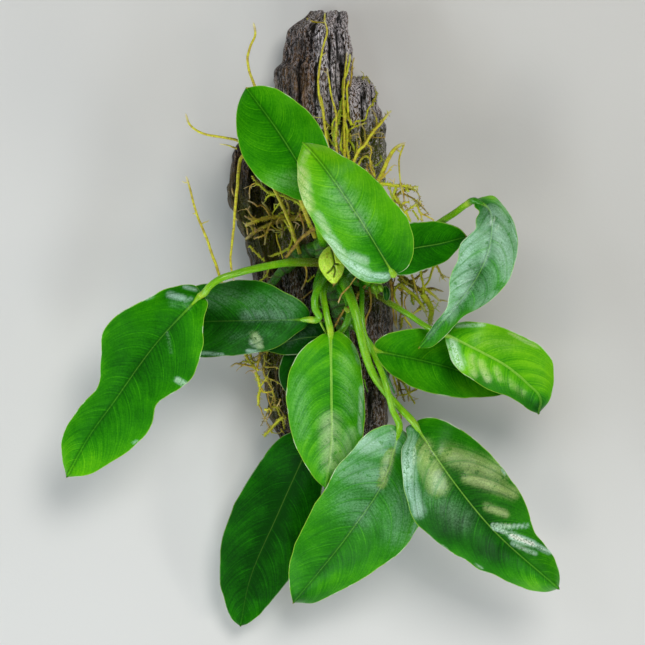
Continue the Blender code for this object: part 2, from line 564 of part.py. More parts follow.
def leaf_blade(name, blade):
    """A closed blade: an upper and a lower skin that share base, tip and margin."""
    length = length_of(blade["rib"])
    rows = min(max(round(length / ROW_LENGTH), 4), MOST_ROWS)
    columns = LEAF_COLUMNS if length > SMALL_LEAF else SMALL_LEAF_COLUMNS

    def row_share(k):
        return 0.5 - 0.5 * math.cos(math.pi * (k / rows) ** ROW_CROWDING)

    grid = [[blade_place(blade, row_share(k), 2 * c / columns - 1) for c in range(columns + 1)]
            for k in range(1, rows)]
    ends = [blade_place(blade, 0, 0), blade_place(blade, 1, 0)]
    points, faces = [], []

    def normal(k, c):
        before = grid[k - 1][c] if k else ends[0]
        after = grid[k + 1][c] if k < rows - 2 else ends[1]
        across = grid[k][min(c + 1, columns)] - grid[k][max(c - 1, 0)]
        up = across.cross(after - before).normalized()
        return up if up.z > 0 else -up

    for skin in (1, -1):
        for end in ends:
            points.append(end + Vector((0, 0, skin * MARGIN_THICKNESS / 2)))
        for k in range(rows - 1):
            for c in range(columns + 1):
                at_margin = abs(2 * c / columns - 1)
                thick = BLADE_THICKNESS + (MARGIN_THICKNESS - BLADE_THICKNESS) * at_margin
                points.append(grid[k][c] + normal(k, c) * (skin * thick / 2))
    skin_size = 2 + (rows - 1) * (columns + 1)

    def at(k, c, skin):
        return skin * skin_size + 2 + k * (columns + 1) + c

    for skin in (0, 1):
        for c in range(columns):
            faces.append((skin * skin_size, at(0, c, skin), at(0, c + 1, skin)))
            faces.append((skin * skin_size + 1, at(rows - 2, c + 1, skin), at(rows - 2, c, skin)))
            for k in range(rows - 2):
                near, far = at(k, c, skin), at(k + 1, c, skin)
                faces.append((near, far, far + 1, near + 1))
    for c in (0, columns):
        faces.append((0, at(0, c, 0), at(0, c, 1), skin_size))
        faces.append((at(rows - 2, c, 0), 1, skin_size + 1, at(rows - 2, c, 1)))
        for k in range(rows - 2):
            faces.append((at(k, c, 0), at(k + 1, c, 0), at(k + 1, c, 1), at(k, c, 1)))
    return solid(name, points, faces, blade["look"])


def laid(route, wood, radius):
    """The route in real places, lifted clear of the wood wherever it crosses it."""
    reach = radius + ROOT_CLEARANCE
    around = [(0, 0), (reach, 0), (-reach, 0), (0, reach), (0, -reach)]
    placed = []
    for x, y, z in route:
        place = spot(x, y, z)
        starts = [Vector((place.x + dx, place.y + dy, ABOVE_THE_WOOD)) for dx, dy in around]
        tops = [tree.ray_cast(start, Vector((0, 0, -1)))[0] for tree in wood for start in starts]
        highest = max([top.z for top in tops if top is not None], default=0)
        place.z = max(place.z, highest + reach)
        placed.append(place)
    return placed


def surface_of(piece):
    """A piece's mesh as a tree that rays can be cast at, in millimetres."""
    mesh = piece.data
    points = [v.co / METRE for v in mesh.vertices]
    return BVHTree.FromPolygons(points, [tuple(p.vertices) for p in mesh.polygons])


def finely(route, step):
    """A route with a point every step or so, so that it can follow the wood."""
    count = max(2, round(length_of(route) / step))
    return [tuple(along(route, k / count)) for k in range(count + 1)]


def root_mass(name, mass, wood):
    """A thick root and its side twigs, joined in one body."""
    radius = mass["radius"]
    stem_route = laid(finely(mass["stem"], LAID_STEP), wood, radius)
    whole = tube(name, stem_route, (radius, radius * MASS_TAPER), ROOT_SIDES, ROOT_FACET, ROOT_MOSSY)
    twigs = bpy.data.collections.new(name + "_twigs")
    bpy.context.scene.collection.children.link(twigs)
    for n, (place, end) in enumerate(mass["twigs"]):
        start = along(stem_route, place)
        finish = laid([end], wood, radius)[0]
        middle = laid([start.lerp(finish, 0.5) + TWIG_BOW], wood, radius)[0]
        radii = [radius * share for share in TWIG_SHARES]
        bend = [start, middle, finish]
        twig = tube(f"{name}_twig_{n}", bend, radii, TWIG_SIDES, ROOT_FACET, ROOT_MOSSY)
        helper(twig, twig.name)
        bpy.context.scene.collection.objects.unlink(twig)
        twigs.objects.link(twig)
    join = whole.modifiers.new("twigs", "BOOLEAN")
    join.operation = "UNION"
    join.operand_type = "COLLECTION"
    join.collection = twigs
    return whole


def spathe_bud():
    """The young folded leaf at the middle: a pointed, slightly flattened body."""
    length, width, depth = BUD_SIZE
    middle = spot(*BUD_MIDDLE)
    axis = BUD_AXIS.normalized()
    across = axis.cross(Vector((0, 0, 1))).normalized()
    up = across.cross(axis)
    rings, sides = BUD_RINGS, BUD_SIDES
    points, faces = [middle - axis * (length / 2)], []
    for k in range(1, rings):
        share = k / rings
        girth = math.sin(math.pi * share**BUD_FORWARD) ** BUD_FULLNESS
        for n in range(sides):
            turn = 2 * math.pi * n / sides
            points.append(middle + axis * (length * (share - 0.5))
                          + across * (width / 2 * girth * math.cos(turn))
                          + up * (depth / 2 * girth * math.sin(turn)))
    points.append(middle + axis * (length / 2))
    for n in range(sides):
        m = (n + 1) % sides
        faces.append((0, 1 + m, 1 + n))
        for k in range(rings - 2):
            a, b = 1 + k * sides, 1 + (k + 1) * sides
            faces.append((a + n, a + m, b + m, b + n))
        last = 1 + (rings - 2) * sides
        faces.append((last + n, last + m, len(points) - 1))
    return solid("spathe_bud", points, faces, LEAF_YOUNG)


def main():
    for old in list(bpy.data.objects):
        bpy.data.objects.remove(old)

    trunk = limb("driftwood_trunk", TRUNK)
    spike = limb("driftwood_right_spike", RIGHT_SPIKE)
    left = limb("driftwood_left_limb", LEFT_LIMB)
    trim(spike, trunk)
    trim(left, trunk)
    wood = [surface_of(piece) for piece in (trunk, spike, left)]

    made = {}
    for name, stem in RHIZOME.items():
        placed = [spot(*p) for p in stem["route"]]
        radii = (stem["radius"], stem["radius"] * RHIZOME_TAPER)
        made[name] = tube(name, placed, radii, RHIZOME_SIDES, STEM_FACET, RHIZOME_GREEN)
    rhizome = list(made.values())
    for piece in rhizome:
        trim(piece, trunk, left)
    for branch in rhizome[1:]:
        trim(branch, made["rhizome"])

    for name, blade in BLADES.items():
        made[name] = leaf_blade(name, blade)
    made["spathe_bud"] = spathe_bud()

    for name, petiole in PETIOLES.items():
        placed = [spot(*p) for p in petiole["route"]]
        stem = tube("petiole_of_" + name, placed, petiole["radii"], STEM_SIDES, STEM_FACET, PETIOLE_GREEN)
        trim(stem, *rhizome)
        trim(made[name], stem)

    for name, root in ROOTS.items():
        radius = root["radius"]
        placed = laid(finely(root["route"], LAID_STEP), wood, radius)
        made[name] = tube(name, placed, (radius, radius * ROOT_TAPER), ROOT_SIDES, ROOT_FACET, ROOT_YELLOW)
        if root["grows_from"]:
            trim(made[name], made[root["grows_from"]])
    for name, mass in ROOT_MASSES.items():
        root_mass(name, mass, wood)


main()
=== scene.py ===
"""The looks of an anubias that grows on a piece of driftwood.

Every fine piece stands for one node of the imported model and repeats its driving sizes, apart from
the few that a comment names. They are in millimetres, as they are seen from the photo's camera.
+Z is up, towards the camera.
"""

import itertools
import math

import bpy
import numpy as np
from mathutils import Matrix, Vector
from mathutils.bvhtree import BVHTree


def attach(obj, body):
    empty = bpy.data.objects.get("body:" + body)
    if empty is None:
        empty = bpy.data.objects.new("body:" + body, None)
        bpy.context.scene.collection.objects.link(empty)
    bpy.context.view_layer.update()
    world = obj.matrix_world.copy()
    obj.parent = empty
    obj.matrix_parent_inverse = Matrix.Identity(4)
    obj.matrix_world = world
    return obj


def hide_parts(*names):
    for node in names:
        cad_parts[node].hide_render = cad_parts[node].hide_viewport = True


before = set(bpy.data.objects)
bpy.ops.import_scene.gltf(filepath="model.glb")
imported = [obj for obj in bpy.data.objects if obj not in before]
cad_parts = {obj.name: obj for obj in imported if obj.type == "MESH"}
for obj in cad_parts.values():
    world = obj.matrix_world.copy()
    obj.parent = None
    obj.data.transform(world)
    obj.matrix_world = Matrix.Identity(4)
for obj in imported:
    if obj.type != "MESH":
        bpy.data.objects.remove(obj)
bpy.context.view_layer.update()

METRE = 0.001

# The photo's camera: its height over the surface, and the width it sees there
EYE_HEIGHT = 1200.0
SEEN_WIDTH = 258.0
SENSOR_WIDTH = 36.0

# Where the soft lights are aimed, in metres, and the strength of the light from all round
LIT_PLACE = (0, 0, 0.04)
SURROUND_STRENGTH = 0.05

# Thickness of the blades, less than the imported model's
MARGIN_THICKNESS = 0.36
BLADE_THICKNESS = 0.62

# Form of the blades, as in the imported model
LIFT_POWER = 1.6
WAVE_POWER = 2.2
LEFT_WAVE_LEAD = 0.3

# Fine form of the blades. Veins, keel and tip are smaller on a blade shorter than FULL_LENGTH
LEAF_ROW = 0.8
LEAF_COLUMNS = np.concatenate(((0.012, 0.025, 0.04, 0.06, 0.085), np.linspace(0.12, 0.955, 21), (0.98, 1.0)))
FULL_LENGTH = 60
VEIN_SPACING = 7.4
VEIN_LEAN = 0.65
VEIN_SWEEP = 0.85
VEIN_CURVE = 1.8
VEIN_WOBBLE = 1.3
LEFT_VEIN_SHIFT = 0.42
QUILT_DEPTH = 0.15
RIB_GROOVE_WIDTH = 0.4
RIB_GROOVE_DEPTH = 0.16
RIB_KEEL_DEPTH = 0.9
RIB_KEEL_WIDTH = 0.8
LEAF_UNEVENNESS = 0.3
FINE_UNEVENNESS = 0.2
MARGIN_WIDTH = 3
MARGIN_RUFFLE = 0.3
MARGIN_WOBBLE = 0.4
TIP_LENGTH = 0.7

# Looks of the blades: how far the fresher margin reaches, and how far the painted sheen can hide the green
FRESH_MARGIN_WIDTH = 4
PAINTED_SHEEN_LIMIT = 0.85

# The wood's cross-section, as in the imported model
SECTION_POINTS = 18
FLANK_HEIGHT_SHARE = 0.38
UNDERCUT_ANGLE = math.radians(50)
SIDE_SQUARENESS = 0.8
CROWN_SQUARENESS = 0.62
SIDE_RIDGE_SHARE = 0.5
# Ridges along the wood: their size, their turn from point to point, their drift along Y and their start
RIDGES = [(1.0, 2.4, 0.04, 0.0), (0.6, 4.1, -0.025, 1.0)]

# Fine form of the wood
WOOD_ROW = 0.6
WOOD_COLUMN = 0.4
SECTION_SAMPLES = 1200
UNDERSIDE_COLUMNS = 36
END_RINGS = 12
# How much broad swells, furrows, fibres, beads, flakes and the knobs of the ends raise the wood, how
# far it is sunk for them, and how much lighter each of them but the knobs makes it, which is partly the
# wood's own tone and partly painted light on what stands out
SWELL, FURROW, FIBRE, BEAD, FLAKE, KNOB, SUNK = 0.45, 0.42, 0.36, 0.24, 0.9, 0.6, 0.35
SWELL_LIGHT, FURROW_LIGHT, FIBRE_LIGHT, BEAD_LIGHT, FLAKE_LIGHT = 0.2, 0.35, 0.5, 0.4, 0.5
# How much the clefts are darkened with painted shade
CLEFT_SHADE = 0.9
LEFT_LIMB_WEAR_AND_HIGHLIGHTS = 0.3

# Stalks and rhizome. Swellings and girths are shares of the radius
STALK_STEP = 0.5
STALK_SIDES = 18
SPROUT_SIDES = 12
FOOT_DEPTH = 2.2
FOOT_SWELL = 0.4
SHEATH_SWELL = 0.12
JOINT_SWELL = 0.1
UNDER_BLADE = np.array((0.05, 0.13))
UNDER_BLADE_DEPTHS = (0.6, 0.8)
DARK_STALK = 0.18
RHIZOME_SIDES = 40
RHIZOME_GIRTHS = (1, 0.96, 0.95, 0.92)
SCAR_SPACING = 3.4
SCAR_WIDTH = 0.12
SCAR_DEPTH, KNOB_HEIGHT, GRAIN_HEIGHT = 0.1, 0.09, 0.03

# Roots and moss. A look is a hue from brown to green and a brightness
ROOT_CLEARANCE = 0.5
ROOT_TAPER = 0.55
LAID_STEP = 5.0
LONG_ROOT_LOOK = (0.5, 0.75)
LONG_ROOT_PALENESS = 2.2
LONG_ROOT_WAVE = 0.22
MASS_TAPER = 0.7
TWIG_BOW = np.array((0.8, 0.8, 1.2))
# The fine stem and twigs of a mass, as shares of the radius of its root
STEM_SHARE, TWIG_SHARE = 0.62, 0.35
MOSSY_WRINKLE = 0.2
STRAND_WRINKLE = 0.16
STRAND_SWELL = 1.05
MOSS_DENSITY = 7.0

# The driftwood's limbs, as stations along Y: (y, left edge, right edge, height of the crown). They are
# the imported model's, but for the trunk above y = 90, which follows the photo more closely, within 1.3 mm
LIMBS = {
    "driftwood_trunk": [
        (123.6, -4.6, 9.4, 15), (121.6, -6.2, 9.8, 18), (118.6, -10.0, 9.4, 21),
        (115.6, -13.2, 9.6, 24), (108.8, -15.0, 11.4, 26), (102.6, -15.8, 11.6, 28),
        (99.8, -18.6, 11.6, 29), (93.6, -18.4, 11.6, 30), (80.8, -17.6, 12.4, 31), (64.8, -18.8, 16.0, 31),
        (48.8, -20.0, 20.8, 33), (32.8, -19.2, 24.0, 34), (12.8, -16.8, 26.8, 34),
        (-3.2, -15.2, 27.2, 33), (-15.2, -8.8, 26.8, 32), (-29.2, -0.8, 25.6, 29),
        (-40.0, 4.8, 24.8, 26), (-46.6, 8.4, 23.4, 20), (-50.0, 11.6, 21.2, 13),
    ],
    "driftwood_right_spike": [
        (97.8, 11.0, 17.0, 15), (95.6, 9.0, 19.4, 20), (92.0, 7.6, 21.4, 24),
        (87.6, 7.0, 21.6, 26), (82.8, 7.0, 23.6, 27), (72.8, 7.0, 25.2, 28),
        (62.0, 7.0, 24.8, 28), (54.8, 7.0, 24.0, 27),
    ],
    "driftwood_left_limb": [
        (72.8, -31.6, -24.0, 12), (69.6, -34.4, -20.8, 17), (60.8, -35.6, -18.4, 21),
        (48.8, -37.2, -17.6, 23), (43.6, -34.8, -17.2, 24), (36.8, -31.6, -16.8, 25),
        (24.8, -28.8, -15.2, 26), (8.8, -26.8, -12.8, 27), (-7.2, -25.2, -10.4, 27),
        (-19.2, -23.6, -8.8, 26), (-31.2, -21.6, -7.6, 24), (-41.2, -18.8, -7.6, 20),
        (-46.4, -16.0, -8.8, 14),
    ],
}

# Deep clefts in the wood: (x, y) at the top end, (x, y) at the low end, depth and half width
CLEFTS = {
    "driftwood_trunk": [
        (3.2, 119, 2.6, 62, 2.4, 0.8), (-8.0, 112, -9.5, 70, 1.5, 0.6), (7.6, 108, 8.8, 60, 1.8, 0.7),
        (-13.2, 104, -12.4, 60, 1.3, 0.5), (14.6, 24, 12.8, -44, 2.2, 0.8), (19.6, 10, 18.6, -46, 1.6, 0.6),
        (-2.6, 104, -3.4, 78, 1.2, 0.5), (23.2, 4, 22.0, -36, 1.2, 0.5),
    ],
    "driftwood_right_spike": [(15.2, 94, 16.2, 60, 1.9, 0.7), (20.2, 90, 20.8, 58, 1.3, 0.5)],
    "driftwood_left_limb": [
        (-27.4, 70, -26.0, 30, 1.7, 0.7), (-31.4, 60, -30.4, 40, 1.2, 0.5),
        (-20.2, 20, -15.8, -40, 1.6, 0.6),
    ],
}

# How far the sides stand out and in, at random
RAGGEDNESS = {"driftwood_trunk": 0.5, "driftwood_right_spike": 0.7, "driftwood_left_limb": 1.1}

# Where moss covers the wood: (x, y) and how far it reaches
MOSSY_PLACES = [
    (-20, 40, 12), (-14, 30, 8), (16, 68, 9), (22, 50, 10), (20, 12, 8), (-20, -14, 6), (-20, -32, 6),
]

# Where the wood is broken and pale, noted in the same way
PALE_PLACES = [(-3.4, 115.5, 4.0), (3.4, 104, 3.0), (16.4, 68, 4.0)]

# The creeping rhizome: (x, y, z) along the middle, the radius, and how far its end is a green bud.
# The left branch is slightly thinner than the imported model's
RHIZOME = {
    "rhizome": dict(
        route=[(-0.4, 35.2, 38.4), (1.6, 25.6, 38.8), (4.8, 14.8, 39.2), (7.6, 4.8, 38.6), (9.6, -4, 37.6)],
        radius=4.4, bud=0.25),
    "rhizome_left_branch": dict(
        route=[(0, 30.4, 38), (-8.8, 27.2, 36), (-14.4, 22.4, 33.6), (-20.4, 15.6, 30.6), (-24, 8.8, 30)],
        radius=3.0, bud=0.5, girths=(1, 0.95, 0.56, 0.5)),
    "rhizome_right_branch": dict(
        route=[(4.8, 20, 39), (12, 18.4, 38.6), (18.4, 16, 40), (23.2, 12.4, 42.5)],
        radius=3.1, bud=1.0),
}

# Leaf blades: rib, left and right are points from the base to the tip, seen from above. heights are
# along the rib, lift raises the left and right margin, and wave is the size, number and start of
# the margin's undulations. fresh is how yellow-green the base, middle and tip are, then how much
# more the margins are so; pale is how clearly the midrib stands out.
BLADES = {
    "leaf_upper_left": dict(
        rib=[(-4, 54.4), (-18.8, 78), (-30.4, 93.8)],
        left=[(-5.6, 50), (-15.2, 51.2), (-24, 56), (-31.6, 65.6), (-34.4, 78.8), (-32.8, 89.6)],
        right=[(1.6, 56.8), (3.6, 65.6), (1.6, 73.2), (-5.6, 84), (-14.8, 91.6), (-24, 94.8)],
        heights=(63, 68, 67, 58), lift=(-3, 0), wave=(0.8, 2.5, 0.2), slot="leaf_mid",
        fresh=(0.42, 0.46, 0.46, 0.1), pale=0.25),
    "leaf_upper_centre": dict(
        rib=[(28.4, 19.2), (13.2, 44), (-3.2, 66.8), (-7.6, 71.6)],
        left=[(25.6, 16.4), (18.8, 16), (12.4, 19.2), (8, 23.6), (2.4, 31.2), (-4, 40.8), (-9.2, 52.8),
              (-10, 62.8)],
        right=[(34, 22), (36, 26.4), (36.4, 31.2), (34.8, 40), (28, 48.8), (19.2, 59.2), (9.6, 65.6),
               (0, 70.8)],
        heights=(75, 86, 90, 84), lift=(-5, -3), wave=(0.9, 3, 0.0), slot="leaf_mid",
        fresh=(0.36, 0.62, 0.92, 0.1), pale=0.5),
    "leaf_far_left": dict(
        rib=[(-48.8, 10.8), (-66.4, -8.2), (-84.6, -33.4), (-92.6, -44.4), (-102.2, -61.6)],
        left=[(-46.4, 8.8), (-47.6, 1.6), (-48, -9.2), (-53.6, -23.6), (-60, -28), (-66.4, -33.6),
              (-68, -40.4), (-73.2, -47.6), (-83.6, -55.2), (-93.6, -60.8)],
        right=[(-50.8, 14.4), (-55.2, 14.8), (-62.8, 13.6), (-70, 9.6), (-81.6, 3.2), (-87.6, -4.4),
               (-88.4, -13.6), (-89.6, -24.8), (-96, -32.8), (-102.8, -43.2), (-104.4, -51.2)],
        heights=(65, 66, 60, 50, 36), lift=(-3, -4), wave=(1.8, 2.6, 0.55), slot="leaf_mid",
        fresh=(0.42, 0.25, 0.62, 0.18), pale=0.18),
    "leaf_left": dict(
        rib=[(-5.2, 1.2), (-28.8, 0.8), (-64.8, 0)],
        left=[(-6.8, -1.6), (-12, -5.6), (-18.8, -10), (-29.2, -12.4), (-38.4, -13.2), (-47.6, -14),
              (-54.8, -12), (-61.6, -6.4)],
        right=[(-5.2, 4), (-8, 7.6), (-14, 11.6), (-22.4, 15.6), (-32.4, 17.2), (-40.8, 16),
               (-48.8, 15.2), (-56.8, 11.2), (-62.4, 5.6)],
        heights=(54, 53, 49, 42), lift=(-3.5, -2), wave=(0.8, 3, 0.4), slot="leaf_dark",
        fresh=(0.2, 0.14, 0.12, 0.03), pale=0.12),
    "leaf_left_under": dict(
        rib=[(4.8, -5.2), (-8.8, -6.4), (-24, -11.2)],
        left=[(2.4, -9.2), (-1.6, -11.2), (-8.8, -12.4), (-16, -12.6)],
        right=[(4.4, -1.6), (1.2, 0), (-6.8, 0), (-14.8, -3.2), (-20.8, -7.6)],
        heights=(45, 44, 40.5), lift=(-0.6, 0), wave=(0.3, 2, 0.0), slot="leaf_dark",
        fresh=(0.03, 0.02, 0.02, 0), pale=0.2),
    "leaf_centre": dict(
        rib=[(3.2, -4.4), (3.6, -31.2), (3.6, -47.2), (1.2, -66.4)],
        left=[(6.4, -4), (10.4, -6.4), (13.6, -10.8), (15.6, -18), (16.4, -28), (16.6, -42),
              (13.6, -51.2), (8, -60)],
        right=[(0, -4.8), (-4, -7.2), (-8, -10.8), (-12, -16.4), (-14.4, -28), (-14, -35.2),
               (-12, -45.6), (-8, -54.4), (-3.2, -61.6)],
        heights=(57, 58, 53, 42), lift=(-4, -3), wave=(0.9, 3, 0.1), slot="leaf_young",
        fresh=(0.66, 0.52, 0.6, 0.12), pale=0.85),
    "leaf_centre_under": dict(
        rib=[(-2.4, -8), (-8, -18), (-12.8, -29.2)],
        left=[(-0.6, -11), (-1.6, -16), (-4, -23.2), (-8.8, -28)],
        right=[(-5.6, -7.4), (-10.4, -8.4), (-15.2, -12.4), (-17.2, -20), (-16, -26.4)],
        heights=(40, 39.5, 37), lift=(-0.4, -0.8), wave=(0.2, 2, 0.3), slot="leaf_dark",
        fresh=(-0.02, -0.02, -0.02, 0), pale=0.1),
    "leaf_lower_middle": dict(
        rib=[(30.8, -42.4), (25, -62.4), (11.2, -83.6), (-11.6, -112)],
        left=[(35.2, -45.6), (39.2, -55.2), (40.8, -67.2), (40, -78.4), (35.6, -86), (29.2, -93.2),
              (18.8, -100.4), (7.6, -106.8), (-4, -112)],
        right=[(28.8, -41.2), (21.2, -42.4), (16, -46.4), (10.4, -52.4), (4.8, -59.2), (1.2, -66.4),
               (-4, -74.4), (-8.8, -84.4), (-12, -91.2), (-13.2, -97.6), (-13.2, -104.8)],
        heights=(57, 58, 51, 30), lift=(-6, -1.5), wave=(0.9, 2.5, 0.3), slot="leaf_mid",
        fresh=(0.46, 0.38, 0.3, 0.14), pale=0.3),
    "leaf_lower_right": dict(
        rib=[(36.8, -40.4), (51.2, -62), (67, -81.6), (94.4, -106.4)],
        left=[(38.8, -39.2), (42.8, -38.2), (50, -40), (59.2, -45.6), (68, -53.6), (78, -66.8),
              (82.8, -77.2), (84.4, -83.6), (88.8, -88.8), (92.8, -95.2), (94.8, -101.6)],
        right=[(33.6, -42), (34, -45.6), (32, -50), (32, -57.2), (32.8, -67.2), (36.8, -78.8),
               (45.6, -87.6), (58, -95.6), (62.4, -98.8), (69.2, -100.8), (74.8, -104), (84, -106.8),
               (90.4, -107.4)],
        heights=(62, 68, 63, 42), lift=(-4, -7), wave=(1.2, 3.5, 0.6), slot="leaf_mid",
        fresh=(0.42, 0.22, 0.58, 0.14), pale=0.6),
    "leaf_lower_left": dict(
        rib=[(-3.2, -44), (-17.6, -76), (-29.6, -104.8), (-32.8, -121.2)],
        left=[(0, -51.2), (0, -63.2), (-2.4, -79.2), (-7.6, -93.2), (-14, -103.2), (-19.6, -110.4),
              (-25.6, -116.8), (-29.6, -120)],
        right=[(-8, -43.2), (-12.6, -44), (-17.6, -46.8), (-25, -56.2), (-32.6, -68), (-38.2, -80),
               (-41, -97.6), (-39.4, -110.6), (-36, -118.7)],
        heights=(38, 38, 30, 12), lift=(-2.5, -3), wave=(0.6, 2, 0.5), slot="leaf_dark",
        fresh=(0.03, 0.04, 0.18, 0.12), pale=0.16),
    "leaf_right_under": dict(
        rib=[(21.2, -11.2), (49.2, -17.6), (77.6, -28)],
        left=[(20.8, -8.8), (24, -5.6), (31.2, -3.2), (37.2, -2.6), (43.2, -2.8), (50.4, -5.2),
              (59.2, -9.2), (68, -16), (74.4, -22.4)],
        right=[(21.6, -13.6), (25.2, -18.4), (31.2, -23.2), (39.2, -27.2), (51.2, -29.6),
               (63.2, -30.2), (70.4, -29.2)],
        heights=(46.5, 46, 42, 34), lift=(0.5, 0.5), wave=(0.5, 2, 0.1), slot="leaf_dark",
        fresh=(0.46, 0.48, 0.38, 0.06), pale=0.1),
    "leaf_curled": dict(
        rib=[(60.8, 48.8), (66.4, 45.6), (67.4, 34), (63.6, 21.6), (54, 7.6), (45.6, -2), (38.8, -10)],
        left=[(64, 50), (68, 50.4), (71.6, 46.8), (76, 41.2), (78, 33.2), (76.8, 23.2), (74, 16.4),
              (68, 9.6), (61.6, 5.2), (55.6, 2.2), (53.2, -0.8), (48.8, -5.6), (43.6, -9.6)],
        right=[(61, 46), (62.8, 44.2), (61.6, 41.6), (61.2, 37.6), (58.8, 35.2), (55.2, 31.2), (54.4, 26.8),
               (52.4, 21.6), (50.8, 16), (50.6, 9.6), (48.8, 4.4), (43.6, -2.4), (40.8, -6.4)],
        heights=(77, 84, 82, 73, 65, 61, 58), lift=(-4, -1), wave=(0.8, 2, 0.0), slot="leaf_mid",
        fresh=(0.34, 0.42, 0.46, 0.12), pale=0.35),
    "leaf_right": dict(
        rib=[(49.2, -4.8), (64, -12), (74.2, -17.8), (81.8, -24.2), (87, -30), (86.4, -36.4)],
        left=[(51.2, -1.6), (56.4, 0.2), (66.4, -0.6), (77.4, -4.4), (87, -9.6), (92.4, -16.8),
              (92.4, -21.6), (90.8, -30.4)],
        right=[(49.4, -7.6), (50.4, -11.6), (52.4, -16.6), (59.6, -22.6), (67.2, -27.2),
               (74.4, -29.6), (79.2, -32), (83.2, -35)],
        heights=(52, 56, 55, 44), lift=(-3, -2.5), wave=(0.9, 3, 0.2), slot="leaf_young",
        fresh=(0.78, 0.84, 0.6, 0.04), pale=0.9),
    "leaf_right_behind": dict(
        rib=[(26.4, 26.4), (36.4, 29.6), (47.2, 31.6), (57.6, 34.4)],
        left=[(28, 34.4), (33.2, 39.2), (39.2, 40.4), (44.4, 40.6), (51.2, 39), (55.2, 37.2)],
        right=[(28, 20), (32.8, 18.8), (42.4, 21.8), (51.2, 26), (54.4, 30)],
        heights=(58, 61, 58), lift=(1.5, -1.5), wave=(0.4, 2, 0.2), slot="leaf_mid",
        fresh=(0.35, 0.33, 0.28, 0.08), pale=0.35),
    "shoot_leaf": dict(
        rib=[(25.2, 14.6), (26, 11.6), (25.6, 8.6)],
        left=[(26.6, 13.8), (27.2, 11.6), (26.6, 9.6)],
        right=[(24.6, 13.4), (24.6, 11.6), (24.9, 9.6)],
        heights=(48.6, 49.6, 47.6), lift=(-0.6, -0.6), wave=(0, 1, 0), slot="leaf_dark",
        fresh=(0.3, 0.2, 0.2, 0), pale=0.2),
}

DULLER_LEAVES = (
    "leaf_upper_left", "leaf_far_left", "leaf_left_under", "leaf_centre_under", "leaf_lower_left",
    "leaf_right_under", "leaf_right_behind",
)
